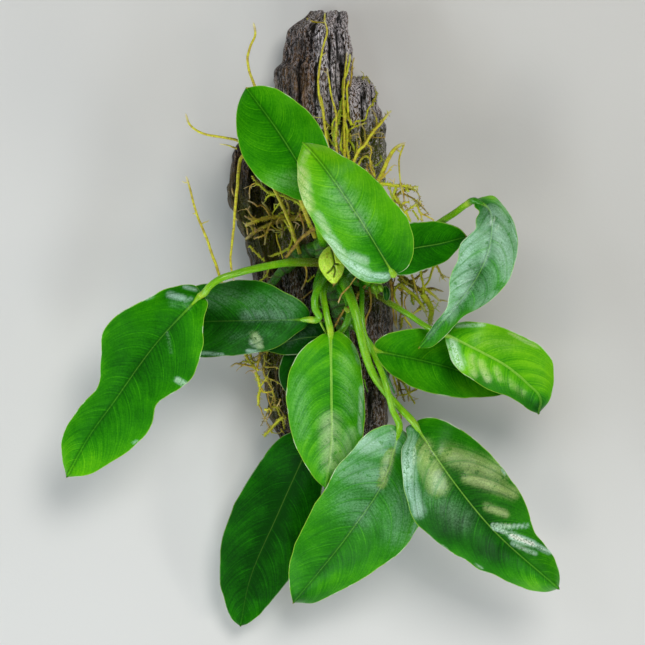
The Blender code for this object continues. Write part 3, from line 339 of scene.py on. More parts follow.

# Painted sheens on the blades, as seen from above: pale colour that stands in for reflections of the
# lights, where the blades also get a glossy coat. Each is a line from (x, y) to (x, y), how far the sheen
# reaches beside it, how strong it is and how warm rather than bluish
SHEEN = {
    "leaf_upper_left": [(-20, 56, -12, 57, 5, 0.14, 0.5), (-30, 60, -26, 57, 1, 0.3, 0.3)],
    "leaf_upper_centre": [
        (-8.4, 60, -6.4, 46, 2.8, 0.75, 1), (6, 52, 16, 40, 7, 0.18, 0.3),
        (2.5, 34, 9, 25.5, 2.1, 0.7, 0.3),
        (9.5, 25, 17, 19.6, 2.4, 0.72, 0.1), (12, 27, 17, 25, 1.8, 0.42, 0.2),
        (19, 18.4, 27.5, 18.4, 1.5, 0.8, 0),
        (-2, 43, 2, 37, 1.8, 0.5, 0.6), (-8, 63, -6, 68, 1.4, 0.3, 1),
    ],
    "leaf_far_left": [
        (-61, 11.2, -55.5, 9.4, 1.3, 0.6, 0), (-55, 8.4, -52.6, 9.4, 1.0, 0.3, 0),
        (-55, 14, -51, 12.8, 0.8, 0.5, 0),
        (-60, 7.4, -54, 6.6, 1.8, 0.14, 0),
        (-58.2, -22.6, -54.5, -25, 0.9, 0.7, 0.2), (-75.4, -48.2, -74.5, -47.6, 0.6, 0.5, 0),
        (-71, 9, -68, 10.5, 0.8, 0.3, 0), (-62, -4, -60.5, -12, 0.8, 0.14, 0.2),
    ],
    "leaf_left": [
        (-12, 7, -30, 9, 5, 0.14, 0), (-14, 3.4, -30, 3.4, 4, 0.17, 0), (-36, 10, -50, 8, 5, 0.13, 0),
        (-27.2, -4.8, -25.4, -7.2, 1.5, 0.45, 0.7), (-26.4, -8, -24.8, -9.6, 1.3, 0.42, 0.7),
        (-28.6, -7.4, -27.4, -9.2, 1.0, 0.3, 0.4), (-30, -11.2, -26, -11.8, 0.9, 0.4, 0),
        (-50, -12, -40, -12.8, 0.8, 0.3, 0), (-20, -4, -36, -6, 3.5, 0.08, 0),
    ],
    "leaf_left_under": [(-4, -3, -14, -8, 3, 0.1, 0)],
    "leaf_centre": [
        (3, -40, 4, -56, 5, 0.36, 0.7), (15.2, -26, 15, -44, 0.9, 0.5, 0.2), (11, -44, 9, -52, 3, 0.3, 0.5),
        (-9, -24, -8, -44, 5, 0.13, 0.2), (9, -16, 11, -34, 5, 0.13, 0.2),
        (12, -9, 14.6, -16, 0.8, 0.3, 0.2),
    ],
    "leaf_lower_middle": [
        (12, -48, 26, -47, 6, 0.38, 0), (9, -58, 20, -62, 7, 0.24, 0), (27.5, -50, 23.5, -64, 2.6, 0.3, 1),
        (10, -72, 16, -76, 9, 0.15, 0), (31, -70, 30, -84, 8, 0.15, 0), (39, -76, 36, -85, 0.9, 0.4, 0),
    ],
    "leaf_lower_right": [
        (34.4, -47, 34, -62, 3.4, 0.62, 0.1), (33.8, -60, 38.4, -75, 3.0, 0.46, 0),
        (34.6, -50, 33.4, -60, 1.5, 0.9, 0.1), (33.6, -64, 35, -70, 1.2, 0.66, 0),
        (34.2, -41.8, 36, -43, 0.8, 0.5, 0),
        (37.1, -50.6, 36.9, -56, 0.7, 1.0, 0.4), (40, -51, 46, -65, 4.8, 0.38, 1),
        (41, -54, 43, -58, 1.6, 0.5, 1), (50, -52.5, 71, -60, 4.6, 0.32, 1),
        (58, -61.5, 76, -68, 2.9, 0.37, 1), (65.5, -73.6, 73, -76.6, 1.7, 0.34, 1),
        (68, -81, 75, -81.6, 0.6, 1.0, 0.2),
        (75, -81.6, 82, -81.2, 0.7, 0.6, 0), (68, -82, 76.8, -85.4, 0.6, 1.1, 0.1),
        (75.6, -85.2, 84, -88.6, 1.1, 1.7, 0), (84, -88.6, 90.4, -91.8, 0.9, 1.1, 0),
        (76, -88.5, 85, -92.4, 0.8, 0.5, 0),
        (71.4, -59, 73, -60.5, 0.9, 0.5, 0), (48, -89.5, 50, -91, 0.7, 0.4, 0.3),
        (61.5, -97, 63.5, -98, 0.6, 0.4, 0.3),
        (42, -68, 56, -78, 7, 0.12, 0.2),
    ],
    "leaf_curled": [
        (60, 35, 54, 14, 5.5, 0.42, 0), (70, 42, 74, 26, 6, 0.46, 0), (66, 39, 64.5, 27, 5, 0.34, 0),
        (54, 12, 50, 4, 4.5, 0.3, 0), (74.5, 30, 74, 18, 4, 0.34, 0), (70, 22, 62, 8, 5, 0.2, 0),
        (69, 12, 61, 6, 1.8, 0.3, 0), (46, 0, 43, -5, 3, 0.14, 0), (75.6, 40, 77.6, 33, 0.9, 0.6, 0),
    ],
    "leaf_right": [
        (51.8, -9, 54.6, -16.5, 2.2, 0.95, 0.3), (60, -14, 60.5, -20.5, 1.8, 0.4, 1),
        (63, -16.5, 66, -22, 2, 0.45, 1),
        (69.5, -18.5, 71, -22.5, 1.4, 0.35, 1), (54, -1.4, 64, -0.8, 0.9, 0.5, 0.2),
        (75, -4.5, 86, -10, 0.7, 0.4, 1),
        (62, -7, 74, -9, 4, 0.12, 1), (74, -23, 80, -28, 2, 0.2, 1),
    ],
}

# Where blades are lighter or darker green: a line as above, its reach, and how much
TINTS = {
    "leaf_upper_left": [(-20, 56, -12, 57, 6, 0.1), (-24, 92, -14, 88, 6, 0.08)],
    "leaf_upper_centre": [(-6, 66, 0, 60, 8, 0.1), (28, 24, 34, 26, 4, -0.1)],
    "leaf_far_left": [
        (-53.5, 5, -50, -12, 3.2, 0.12), (-88, 0, -90, -20, 6, 0.08), (-62, 12, -52, 13, 4, -0.16),
        (-98, -56, -84, -52, 9, 0.16),
    ],
    "leaf_left": [(-12, 8, -46, 9, 6, 0.14)],
    "leaf_centre": [(8, -16, 10, -28, 5, 0.1)],
    "leaf_lower_right": [(50, -82, 68, -94, 8, -0.2), (54, -92, 86, -105, 3, 0.16)],
    "leaf_lower_middle": [(8, -62, 2, -74, 5, 0.06), (-10, -106, 20, -98, 3, 0.12)],
    "leaf_right_under": [(56, -24, 66, -27, 4, 0.12), (26, -8, 40, -10, 5, 0.05)],
    "leaf_right_behind": [(34, 22, 46, 25, 5, -0.14)],
    "leaf_curled": [
        (63, 50.6, 68, 49.6, 1.6, 0.45), (68, 49.6, 73, 44.5, 1.4, 0.2), (56, 26, 66, 12, 5, -0.1),
    ],
    "leaf_right": [
        (56, -14, 70, -22, 4, 0.08), (62, -23, 86, -33, 4, -0.4), (50, -3, 60, -2, 3, -0.2),
    ],
}

# The young folded leaf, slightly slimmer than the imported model's: its length, width and depth, its
# middle and the way its tip points
BUD_SIZE = (15.0, 9.9, 6.6)
BUD_MIDDLE = (3.8, 22.8, 63)
BUD_AXIS = (0.12, -1, -0.1)
BUD_TAIL = (-0.8, -1.0, 0.4)
BUD_FORWARD = 0.85
BUD_FULLNESS = 0.8
BUD_RINGS, BUD_SIDES = 90, 96

# Creases of the folded leaf as seen from above, and how wide and deep they are
CREASE_WIDTH, CREASE_DEPTH = 0.32, 1.3
BUD_CREASES = [
    [(3.8, 29.0), (4.6, 25.8), (4.9, 23.4), (3.6, 21.2), (1.8, 19.8)],
    [(4.9, 23.4), (6.6, 23.4)],
    [(4.9, 22.8), (5.2, 20.4), (4.6, 18.4)],
]

# Petioles: (x, y, z) from the rhizome to the blade, the radius at those two ends, and how far
# from the rhizome the reddish brown of the base reaches, as a share. joint is how pale the ring at
# the blade is, early how far before the blade it lies, and after how yellow-green the stalk is past
# it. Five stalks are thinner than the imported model's, and that of leaf_far_left bends more sharply
PETIOLES = {
    "leaf_upper_left": dict(
        route=[(0.4, 32, 42), (-1.2, 37.6, 51), (-2.8, 45.6, 58), (-4, 54.4, 63)], radii=(1.7, 1.2),
        blush=0.1),
    "leaf_upper_centre": dict(
        route=[(17.6, 16.4, 44.5), (20, 20, 54), (24, 22.4, 65), (27, 21, 71.8), (28.4, 19.2, 75)],
        radii=(1.8, 1.3), blush=0.0),
    "leaf_far_left": dict(
        route=[(-0.8, 24, 43), (-12.8, 24, 51), (-24, 22.2, 60), (-34.6, 19.6, 66), (-41.8, 17, 68),
               (-45.6, 14, 67.4), (-47.2, 11.8, 66.2), (-48.8, 10.8, 65)],
        radii=(1.6, 1.25), blush=0.36),
    "leaf_left": dict(
        route=[(2.4, 20, 43), (-1.4, 14.4, 53), (-3.2, 9.2, 56.4), (-2.9, 5.2, 57), (-1.3, 2.4, 56.4),
               (-2.3, 1.2, 55), (-5.2, 1.2, 54)],
        radii=(1.45, 1.25), blush=0.0),
    "leaf_left_under": dict(
        route=[(7.2, 13.6, 42), (10.4, 8.4, 47.5), (10.6, 2.6, 50), (8.9, -1.6, 49.4), (6.8, -4.2, 47),
               (4.8, -5.2, 45)],
        radii=(1.6, 1.1), blush=0.0),
    "leaf_centre": dict(
        route=[(1.6, 17, 42), (0.2, 11.2, 51.6), (1.6, 3.4, 56.4), (3.2, -4.4, 57)], radii=(1.4, 1.2),
        blush=0.35),
    "leaf_centre_under": dict(
        route=[(-0.4, 21.6, 41), (-2.6, 14.8, 42.2), (-2, 4.8, 43), (-2, -3.2, 41.8), (-2.4, -8, 40)],
        radii=(1.2, 0.9), blush=0.2),
    "leaf_lower_middle": dict(
        route=[(15.6, 16.8, 42.5), (15.8, 11.2, 47.5), (15.8, 3.2, 51.5), (16.6, -3.6, 53),
               (19.6, -11.2, 54.8), (23.4, -19.2, 59), (25.8, -26.4, 61.8), (27.8, -34.4, 60.6),
               (30.8, -42.4, 57)],
        radii=(0.75, 1.3), blush=0.0, joint=0.1),
    "leaf_lower_right": dict(
        route=[(6.8, 18.4, 41.6), (9.2, 14.8, 51), (13.2, 4, 59), (15.2, -4.4, 60.5), (17, -12, 59),
               (20.6, -21.2, 55.6), (24.6, -27, 54.2), (30.4, -33.6, 57.6), (36.8, -40.4, 62)],
        radii=(2.0, 1.25), blush=0.16, joint=0.15),
    "leaf_lower_left": dict(
        route=[(9.2, -1.2, 42), (9.6, -11.2, 42), (6.8, -25.2, 41), (1.6, -36, 40), (-3.2, -44, 38)],
        radii=(1.4, 1.1), blush=0.1),
    "leaf_right_under": dict(
        route=[(9.2, 1.6, 42.5), (13.6, -2.4, 45.6), (17.6, -6.8, 47), (21.2, -11.2, 46.5)],
        radii=(1.4, 1.1), blush=0.1),
    "leaf_curled": dict(
        route=[(10.4, 20, 42), (20, 24, 46), (28.8, 28, 49), (38.8, 34, 52), (46.2, 39.4, 56.4),
               (53.2, 44, 65.5), (57.6, 47.2, 73.4), (60.8, 48.8, 77)],
        radii=(1.6, 1.2), blush=0.0, early=3.2, after=0.3),
    "leaf_right": dict(
        route=[(20, 12, 40), (26.4, 8, 41.5), (34.4, 3.2, 45.4), (42.4, -2, 49), (49.2, -4.8, 52)],
        radii=(1.1, 1.1), blush=0.55),
    "leaf_right_behind": dict(
        route=[(5.6, 23.2, 42), (11.6, 26, 50.5), (18.4, 26, 55.6), (26.4, 26.4, 58)], radii=(1.4, 1.1),
        blush=0.1),
    "spathe_bud": dict(
        route=[(1.4, 26.6, 42.5), (2.8, 28, 52), (4, 28.6, 57.4)], radii=(1.2, 1.0), blush=0.0),
}

# Small scales and sprouts between the stalks: the radius at both ends, how yellow-green and how pale
# they are, and (x, y, z) from the foot to the tip
SPROUTS = [
    ((0.45, 0.1, 0.5, 0.0), [(-1.2, 6.5, 52), (-0.2, 5.8, 53), (0.7, 4.7, 53.5)]),
    ((0.5, 0.35, 0.8, 0.3), [(-1.0, 0.4, 53), (0.2, -2.0, 52.5), (1.8, -4.8, 52)]),
    ((0.9, 0.35, 0.05, 0.0), [(23.8, -17.8, 45), (26.2, -22.6, 47), (29, -28.6, 48)]),
    ((1.05, 0.85, 1.0, 0.6), [(9.0, 6.4, 50.4), (9.8, 5.2, 51), (10.6, 3.8, 50.6)]),
    ((1.5, 1.1, 0.75, 0.1), [(19.8, 15.4, 45), (20.8, 14.0, 46), (21.4, 12.6, 46)]),
    ((1.2, 0.8, 0.85, 0.2), [(22.6, 15.2, 46), (23.4, 13.8, 46.6), (23.8, 12.2, 46)]),
    ((0.5, 0.12, 0.9, 0.2), [(21.3, 12.6, 46.5), (21.6, 11.0, 46.5), (22.0, 9.3, 46)]),
    ((0.32, 0.16, 0.7, 0.0), [(16.6, -22.6, 36), (17.2, -25.2, 36), (18.2, -28.0, 35)]),
]

# Long roots: (x, y, z) from where they start to the tip, and the radius at the start. side is the
# radius and route of a side root
ROOTS = {
    "root_top_left": dict(
        route=[(-3, 34, 39), (-8.8, 48.8, 46), (-14.8, 64.8, 50), (-22.4, 82.8, 52), (-27.2, 94.8, 52),
               (-30, 104.8, 51.5), (-28.8, 110.8, 51), (-26.8, 116, 50), (-27.6, 120, 50)],
        radius=0.8),
    "root_left": dict(
        route=[(-9, 27.4, 39), (-14, 42, 40), (-21.6, 57.6, 43), (-28.8, 68.8, 46), (-34, 72.8, 47.4),
               (-42.8, 74.4, 48), (-48.8, 76, 48), (-52.8, 78.8, 48), (-54.8, 83.6, 49)],
        radius=0.75, side=(0.38, [(-34.4, 69.6, 46), (-38, 70.9, 47.4), (-41.2, 71.4, 47.8)])),
    "root_left_fork": dict(
        route=[(-28.8, 68.8, 46), (-32.4, 66, 45), (-33.8, 56.8, 45), (-35, 44.8, 44.4), (-36, 32.8, 44),
               (-36.8, 24, 44.6), (-35.4, 16.6, 46)],
        radius=0.7),
    "root_far_left": dict(
        route=[(-22, 12, 33), (-31, 11, 37), (-39.6, 14.8, 41), (-42.4, 22.4, 43), (-46.8, 34.8, 45),
               (-50.8, 44.8, 46), (-52.8, 52.8, 46), (-54.6, 58.6, 46.4)],
        radius=0.7, side=(0.34, [(-53.4, 56.4, 46), (-54.8, 55.9, 46), (-56.2, 56.6, 46)])),
    "root_up_the_trunk": dict(
        route=[(4.6, 58, 0), (2, 69.2, 0), (0, 82.8, 0), (-1.6, 91, 0), (-1.2, 99, 0), (0, 106.8, 0),
               (1.8, 113.6, 0), (0.8, 118.8, 0)],
        radius=0.6, side=(0.42, [(0.8, 118.4, 0), (0.9, 120.4, 0), (1.0, 122.2, 0)])),
    "root_trunk_middle": dict(
        route=[(6, 62, 0), (5.2, 72, 0), (5.4, 80, 0), (3.6, 88, 0), (1.8, 99.2, 0)], radius=0.5),
    "root_trunk_right": dict(
        route=[(8.6, 64, 0), (8.4, 76, 0), (8.2, 88, 0), (8.8, 97.6, 0), (9.6, 106, 0)], radius=0.6),
    "root_right_arch": dict(
        route=[(20, 54, 29), (23.2, 58, 33), (26.4, 65.6, 36), (30, 70.4, 38), (33.2, 72, 38.4)],
        radius=1.1),
    "root_right_hanging": dict(
        route=[(32.6, 71.2, 38), (30.8, 66, 38), (30.8, 59, 37), (32, 51, 36)], radius=0.4),
}

# Mossy root masses: the thick root with its side twigs as (place along it, end point)
ROOT_MASSES = {
    "root_mass_left": dict(
        stem=[(-5.6, 41, 31), (-12, 41.4, 31), (-20, 39.6, 31), (-26, 36.8, 30), (-31, 33.2, 29)],
        radius=1.5,
        twigs=[(0.16, (-9.6, 49.6, 38)), (0.3, (-15.6, 51.2, 38)), (0.42, (-16.4, 33.6, 38)),
               (0.55, (-24.4, 48.4, 31)), (0.7, (-23.2, 30.8, 31)), (0.85, (-31.6, 39.6, 31))]),
    "root_mass_trunk": dict(
        stem=[(11.6, 62, 31), (15.2, 69.6, 30), (19.4, 75.6, 30), (27, 84.2, 31)], radius=1.1,
        twigs=[(0.1, (13.4, 75, 31)), (0.32, (20.6, 69.6, 31)), (0.45, (14.4, 80, 31)),
               (0.55, (24.6, 75.4, 31)), (0.7, (19.4, 85.6, 31))]),
    "root_mass_right": dict(
        stem=[(18.4, 42, 32), (25, 46, 33), (31.6, 52.4, 34), (38, 54.2, 35)], radius=1.1,
        twigs=[(0.2, (24.8, 39.6, 36)), (0.45, (35.2, 44.8, 36)), (0.58, (27.6, 55.6, 34)),
               (0.7, (42.4, 43.2, 37)), (0.85, (39.2, 49.6, 35))]),
    "root_mass_middle_right": dict(
        stem=[(22, 22, 32), (29.6, 19.6, 33), (36.8, 14.8, 33), (42.4, 8.8, 33), (43.4, 1.2, 32)],
        radius=1.5,
        twigs=[(0.15, (27.6, 6.8, 30)), (0.3, (30.8, -1.2, 30)), (0.45, (42.4, 21.2, 35)),
               (0.6, (48.4, 12.4, 34)), (0.75, (35.6, 2.8, 30))]),
    "root_mass_lower_left": dict(
        stem=[(-19.2, -5.6, 29.5), (-22.8, -14, 28.6), (-23.4, -20.4, 28), (-19.6, -28, 27.4),
              (-19.4, -35.6, 25)],
        radius=0.9,
        twigs=[(0.2, (-33.2, -18, 26)), (0.4, (-15.4, -20, 29)), (0.55, (-14.6, -27.2, 28)),
               (0.8, (-24.8, -41.4, 20)), (0.9, (-14.6, -41, 24))]),
    "root_mass_lower_right": dict(
        stem=[(26, -12, 26), (29, -19, 27), (31, -26, 26), (32.6, -31.6, 24)], radius=0.8,
        twigs=[(0.35, (34.4, -19.6, 29)), (0.6, (28.4, -33.6, 24)), (0.75, (35.2, -28.4, 25))]),
}

# How much brighter than noted the strands of a mass are
BRIGHTER = {"root_mass_left": 0.32}

# Finer strands among the masses and at the rhizome. Each is (height at its start and end, radius,
# hue from brown to green, brightness, density of its stubs, paleness of its tip) and its route
STRANDS = {
    "root_mass_left": [
        ((31, 31, 0.85, 0.45, 0.5, 1, 1), [(-7.6, 42.3), (-11.1, 42), (-14.5, 42.3), (-17.8, 42.3),
         (-20.5, 42), (-23.1, 41.7), (-25.5, 41), (-27.8, 40), (-29.8, 39.2), (-31.1, 38.5)]),
        ((31, 33, 0.3, 0.25, 0.7, 0.3, 1), [(-26.5, 41.3), (-28.1, 42.3), (-29.1, 43.7), (-29.8, 45),
         (-30.9, 45.7)]),
        ((32, 33, 0.22, 0.25, 0.7, 0, 1), [(-29.8, 45), (-29.5, 45.8), (-29, 46.7)]),
        ((31, 33, 0.35, 0.25, 0.7, 0.3, 1), [(-26.5, 41.3), (-28.5, 41.5), (-30.3, 42), (-31.2, 42.7)]),
        ((32, 36, 0.32, 0.2, 0.9, 0.1, 2), [(-21.3, 43.2), (-22.5, 45), (-23.5, 46.2), (-24.5, 47),
         (-26, 46.5), (-27.1, 47.5), (-28.5, 48.2), (-30, 48.7)]),
        ((42, 33, 0.55, 0.8, 0.45, 0.9, 0), [(-5.1, 38.3), (-5.8, 41), (-6.6, 43), (-7.8, 45.3),
         (-9.1, 47.3), (-11.1, 48.7), (-13.8, 49.8), (-16.1, 50.7), (-18.5, 51.2), (-20.5, 51.5),
         (-22.5, 52.7), (-23.8, 53.8), (-25.1, 55), (-26.8, 55.7)]),
        ((33, 29, 0.3, 0.2, 0.9, 0.1, 2), [(-26.8, 55.7), (-28.1, 55.3), (-28.9, 54), (-29.2, 51.7),
         (-29.1, 49.4)]),
        ((36, 33, 0.35, 0.8, 0.5, 1, 0), [(-18.5, 51.2), (-20.5, 51), (-22.1, 50.3), (-23, 49.3)]),
        ((33, 31, 0.35, 0.6, 0.45, 1, 0), [(-25.1, 55), (-26.8, 56.7), (-27.8, 57.8), (-28.1, 58.7)]),
        ((37, 32, 0.3, 0.75, 0.5, 0.3, 0), [(-15.8, 49), (-17.8, 47), (-19.1, 45), (-20.1, 43.3)]),
        ((33, 35, 0.25, 0.75, 0.5, 0.5, 0), [(-19.1, 45), (-19.3, 47.3)]),
        ((34, 33, 0.4, 0.8, 0.45, 1, 0), [(-11.5, 43.5), (-12.5, 44.2), (-14, 44.8), (-15.8, 44.3),
         (-17.8, 43)]),
        ((40, 36, 0.4, 0.15, 0.7, 0, 2), [(-9.1, 43.7), (-8.3, 41), (-7.6, 39), (-7.5, 37.3), (-8, 35.1)]),
        ((36, 37, 0.28, 0.15, 0.75, 0, 2), [(-11.8, 40.3), (-10.1, 39.7), (-9, 38.7)]),
        ((36, 41, 0.4, 0.7, 0.5, 0.5, 0), [(-15.1, 41), (-13.8, 38.7), (-12.6, 36.3), (-12.1, 33.7),
         (-12.5, 31.7), (-13.3, 29.7), (-14, 27), (-14.5, 25.8)]),
        ((34, 33, 0.26, 0.35, 0.9, 0, 1), [(-17, 42), (-18.1, 40.7), (-18.1, 39), (-17.6, 37.6)]),
        ((32, 31, 0.35, 0.3, 0.6, 0.4, 1), [(-20.3, 40.2), (-21.1, 38.7), (-22, 37), (-22.3, 35.7),
         (-23.8, 34.7), (-26.1, 34), (-27.5, 33.5)]),
        ((32, 33, 0.28, 0.3, 0.6, 0.2, 1), [(-22, 36.9), (-20.1, 37.2), (-19, 36.5)]),
        ((33, 40, 0.28, 0.45, 0.8, 0, 0), [(-18.5, 35.5), (-18.1, 33), (-17.5, 31), (-16.8, 29),
         (-16.5, 27.7), (-15.9, 25.5)]),
        ((35, 33, 0.4, 0.85, 0.4, 1, 0), [(-14.5, 38.3), (-16.1, 36.3), (-17.5, 34.3)]),
        ((40, 35, 0.42, 0.75, 0.45, 1, 0), [(-13.3, 29.7), (-15.1, 28.7), (-17.1, 27.7), (-19.1, 27),
         (-21, 26.3)]),
        ((28, 33, 0.35, 0.7, 0.4, 1, 0), [(-29.2, 30.7), (-27.8, 29), (-26.1, 27.3), (-24.5, 25.7),
         (-23.1, 24.6)]),
        ((30, 30, 0.3, 0.2, 0.6, 0.3, 1), [(-27.1, 38), (-26.9, 35.9)]),
        ((29, 28, 0.28, 0.2, 0.7, 0.3, 1), [(-30, 37.7), (-30.1, 36.3), (-29.8, 34.9)]),
        ((27, 26, 0.35, 0.2, 0.5, 0.2, 1), [(-36.2, 53.7), (-36, 52.2), (-35.5, 50.6)]),
        ((46, 41, 0.75, 0.15, 0.45, 0.15, 0), [(-3, 37.7), (-5.8, 35.8), (-7.8, 34.3), (-9.8, 32.3),
         (-11.5, 30), (-13.3, 27.7), (-14.8, 25.7)]),
        ((46, 38, 0.38, 0.15, 0.9, 0, 2), [(-7.3, 23.7), (-6.4, 21), (-6.4, 18), (-7.4, 15), (-8.6, 13)]),
        ((33, 34, 0.35, 0.75, 0.35, 1, 0), [(-25.1, 16.5), (-23.5, 17.7), (-22.1, 19.3), (-21.5, 21.3)]),
        ((30, 34, 0.25, 0.5, 0.45, 0.2, 0), [(-21.1, 39.7), (-19.1, 37.7), (-16.5, 37), (-14.8, 38)]),
    ],
    "root_mass_trunk": [
        ((0, 0, 0.5, 0.75, 0.9, 0, 1), [(8.2, 91), (8.2, 93.4), (8.4, 96.6), (9.4, 99), (10.2, 101.8),
         (10.8, 105), (11, 107.4)]),
        ((0, 0, 0.36, 0.3, 0.7, 0, 1), [(11, 94.5), (11.5, 97.8), (11.8, 101.4), (12.3, 104.6),
         (12.8, 106.1)]),
        ((0, 0, 0.55, 0.6, 1, 0, 0), [(11.8, 78.9), (11.2, 80.2), (10.4, 82.6), (10.2, 85), (10, 88.2),
         (9.8, 91), (9.7, 93.8), (10.6, 97)]),
        ((0, 0, 0.65, 0.9, 0.6, 0.7, 0), [(5.8, 71), (4.8, 73), (5, 76.2), (5.6, 78.6), (6.2, 80.2),
         (7, 83.4), (7.4, 87), (8.2, 90.2)]),
        ((0, 0, 0.5, 0.8, 0.8, 0.3, 0), [(8.2, 67.4), (7.2, 70.6), (7.6, 73.8), (8.2, 77), (8.6, 79.4),
         (9, 82.6), (8.8, 85), (9, 89)]),
        ((0, 0, 0.6, 0.7, 0.8, 0.3, 0), [(10.6, 65.4), (10, 68.2), (9.6, 71), (10, 73.8), (9.8, 77),
         (9, 80.2), (9.2, 83.4)]),
        ((0, 0, 0.38, 0.65, 0.8, 0.3, 1), [(9.8, 75.6), (11, 77), (12.6, 78.2), (15, 79), (17.3, 79.8)]),
        ((0, 0, 0.35, 0.65, 0.7, 0.4, 0), [(12.6, 78.6), (13, 80.2), (15, 80.6), (16.8, 81), (17.6, 82.6),
         (18.2, 85), (18.8, 86.3), (19.9, 86.8)]),
        ((0, 0, 0.4, 0.6, 0.5, 0.6, 0), [(19.9, 86.8), (20.6, 89), (21.3, 91.4), (20.7, 93.4),
         (19, 95.8), (17, 97.4), (15, 97.9), (12.4, 97.7)]),
        ((35, 39, 0.55, 0.5, 0.9, 0.2, 2), [(12.6, 64.2), (13.4, 66.6), (14.6, 69), (16.6, 70.6),
         (18.2, 73), (19.4, 75), (21.4, 77.4), (23.4, 79.8), (25.4, 82.2), (27.2, 84.7)]),
        ((0, 0, 0.2, 0.3, 0.8, 0.2, 1), [(19, 74.1), (22.2, 74), (24.7, 74)]),
        ((0, 0, 0.45, 0.85, 0.8, 0.1, 0), [(9.8, 73.4), (11.8, 71.4), (12.8, 69), (13.2, 66.8)]),
        ((0, 0, 0.26, 0.35, 0.9, 0, 1), [(15, 69.7), (15.4, 72.2), (14.7, 74.6), (14.4, 76.4)]),
        ((31, 35, 0.42, 0.55, 0.6, 0.3, 0), [(14.4, 63), (15.4, 65), (16.6, 66.2), (17.8, 66.4), (19, 65),
         (19.8, 62.6), (20.6, 60.2), (21.1, 57.8)]),
        ((33, 36, 0.32, 0.35, 0.75, 0.1, 0), [(17.6, 71.5), (19, 70.2), (19.6, 68.6), (19.2, 66.6),
         (19, 63.8), (19.5, 61), (20.8, 58.2)]),
        ((31, 35, 0.28, 0.3, 0.8, 0, 0), [(17.7, 63.6), (18.2, 61), (20, 58.8)]),
        ((32, 36, 0.28, 0.35, 0.9, 0, 0), [(18.6, 63), (19.4, 61.4), (20.4, 59)]),
        ((32, 33, 0.3, 0.85, 0.6, 0.5, 0), [(21, 62.5), (22.6, 63.8), (24.1, 65.1)]),
        ((0, 0, 0.25, 0.8, 0.6, 0.6, 0), [(23.2, 67), (23.5, 65.6), (23.9, 64.9)]),
        ((0, 0, 0.35, 0.7, 0.6, 0.9, 0), [(1, 80.3), (2.2, 79), (4, 77.4), (4.8, 75.4)]),
        ((0, 0, 0.4, 0.75, 0.6, 0.9, 0), [(1.8, 77), (2.6, 73.8), (4.6, 71), (5.9, 69.2)]),
        ((0, 0, 0.35, 0.8, 0.5, 1, 0), [(2.4, 77.4), (4.2, 77.8), (6.2, 76.2), (5.1, 73)]),
        ((0, 0, 0.36, 0.6, 0.85, 0.1, 0), [(1.5, 74.4), (1.3, 76.2), (0.9, 80.2), (0.6, 83.4),
         (0.2, 86.6), (-0.4, 89.4), (-1.4, 91.8)]),
        ((0, 0, 0.4, 0.7, 0.7, 0.5, 0), [(4, 74.6), (4, 77.8), (4.2, 80.2), (5.4, 81.8), (6.8, 85)]),
        ((0, 0, 0.45, 0.5, 0.5, 0.8, 0), [(7.8, 74.6), (9.8, 75.4), (11.4, 74.6), (10.2, 72.2)]),
        ((0, 0, 0.32, 0.4, 0.7, 0.2, 0), [(1, 119.8), (-1.7, 120), (-4.3, 120.5), (-6.3, 121.3),
         (-8, 121), (-8.8, 120.3)]),
    ],
    "root_mass_right": [
        ((35, 36, 0.65, 0.65, 0.8, 1.6, 2), [(22.9, 55.3), (25.8, 55.3), (28.4, 54.7), (30.6, 54.5),
         (33.2, 54.5), (35.4, 54.1), (37, 53.9), (38.3, 53.9)]),
        ((35, 35, 0.4, 0.7, 0.8, 1.2, 0), [(33.3, 54), (34.1, 52.9), (34.8, 52.2)]),
        ((35, 34, 0.5, 0.75, 0.8, 0.5, 0), [(29.6, 54.2), (28.7, 52.3), (28.5, 50.7), (29.4, 49.1),
         (30.3, 47.8)]),
        ((35, 34, 0.4, 0.8, 0.8, 0.3, 0), [(26.3, 54.2), (27.1, 52.6), (27.6, 50.7), (28.5, 48.8)]),
        ((35, 33, 0.38, 0.2, 1, 0.1, 2), [(31.2, 55.8), (32, 53.9), (32.4, 52), (32.6, 49.7),
         (32.9, 46.8)]),
        ((34, 35, 0.5, 0.65, 0.9, 0.8, 2), [(32.2, 42.7), (33.8, 44.9), (35.4, 45.9), (36.7, 46.8),
         (38, 47.5), (39.6, 48.7)]),
        ((35, 33, 0.4, 0.5, 0.9, 0.5, 1), [(37.8, 47.3), (38.4, 45.6), (39.2, 43.6), (39.6, 42),
         (39.8, 40.4)]),
        ((35, 35, 0.3, 0.3, 1, 0.2, 2), [(38.3, 46.8), (39.4, 46.7), (40.5, 46.8)]),
        ((34, 32, 0.36, 0.4, 0.9, 0.3, 1), [(39.2, 43.5), (40.8, 43), (42.8, 42), (43.9, 41.4),
         (44.6, 40.4)]),
        ((34, 32, 0.5, 0.8, 0.8, 0.2, 0), [(33.3, 44.6), (34, 43), (34.6, 41.7), (35.3, 40.1)]),
        ((35, 32, 0.35, 0.7, 0.7, 0.3, 0), [(36, 44.9), (37, 43.6), (37.8, 42.4), (38.4, 40.8)]),
        ((33, 34, 0.55, 0.7, 0.7, 1, 0), [(28.5, 50.4), (30.1, 49.4), (30.6, 47.8), (31.6, 46.2),
         (32.3, 44.3), (32, 42.4)]),
        ((34, 34, 0.35, 0.6, 0.8, 0.8, 0), [(31.9, 47.5), (33.5, 48.1), (34.8, 48.1)]),
        ((34, 35, 0.25, 0.4, 0.8, 0.2, 1), [(37.6, 47.4), (37.2, 48.6), (36.4, 49.1)]),
        ((36, 36, 0.38, 0.4, 0.9, 0.2, 1), [(23, 57), (25, 59), (26.2, 60.2), (27.3, 62.1)]),
        ((36, 37, 0.28, 0.3, 1, 0, 2), [(28.4, 55.2), (28.5, 56.4), (28.8, 57.9)]),
    ],
    "root_mass_middle_right": [
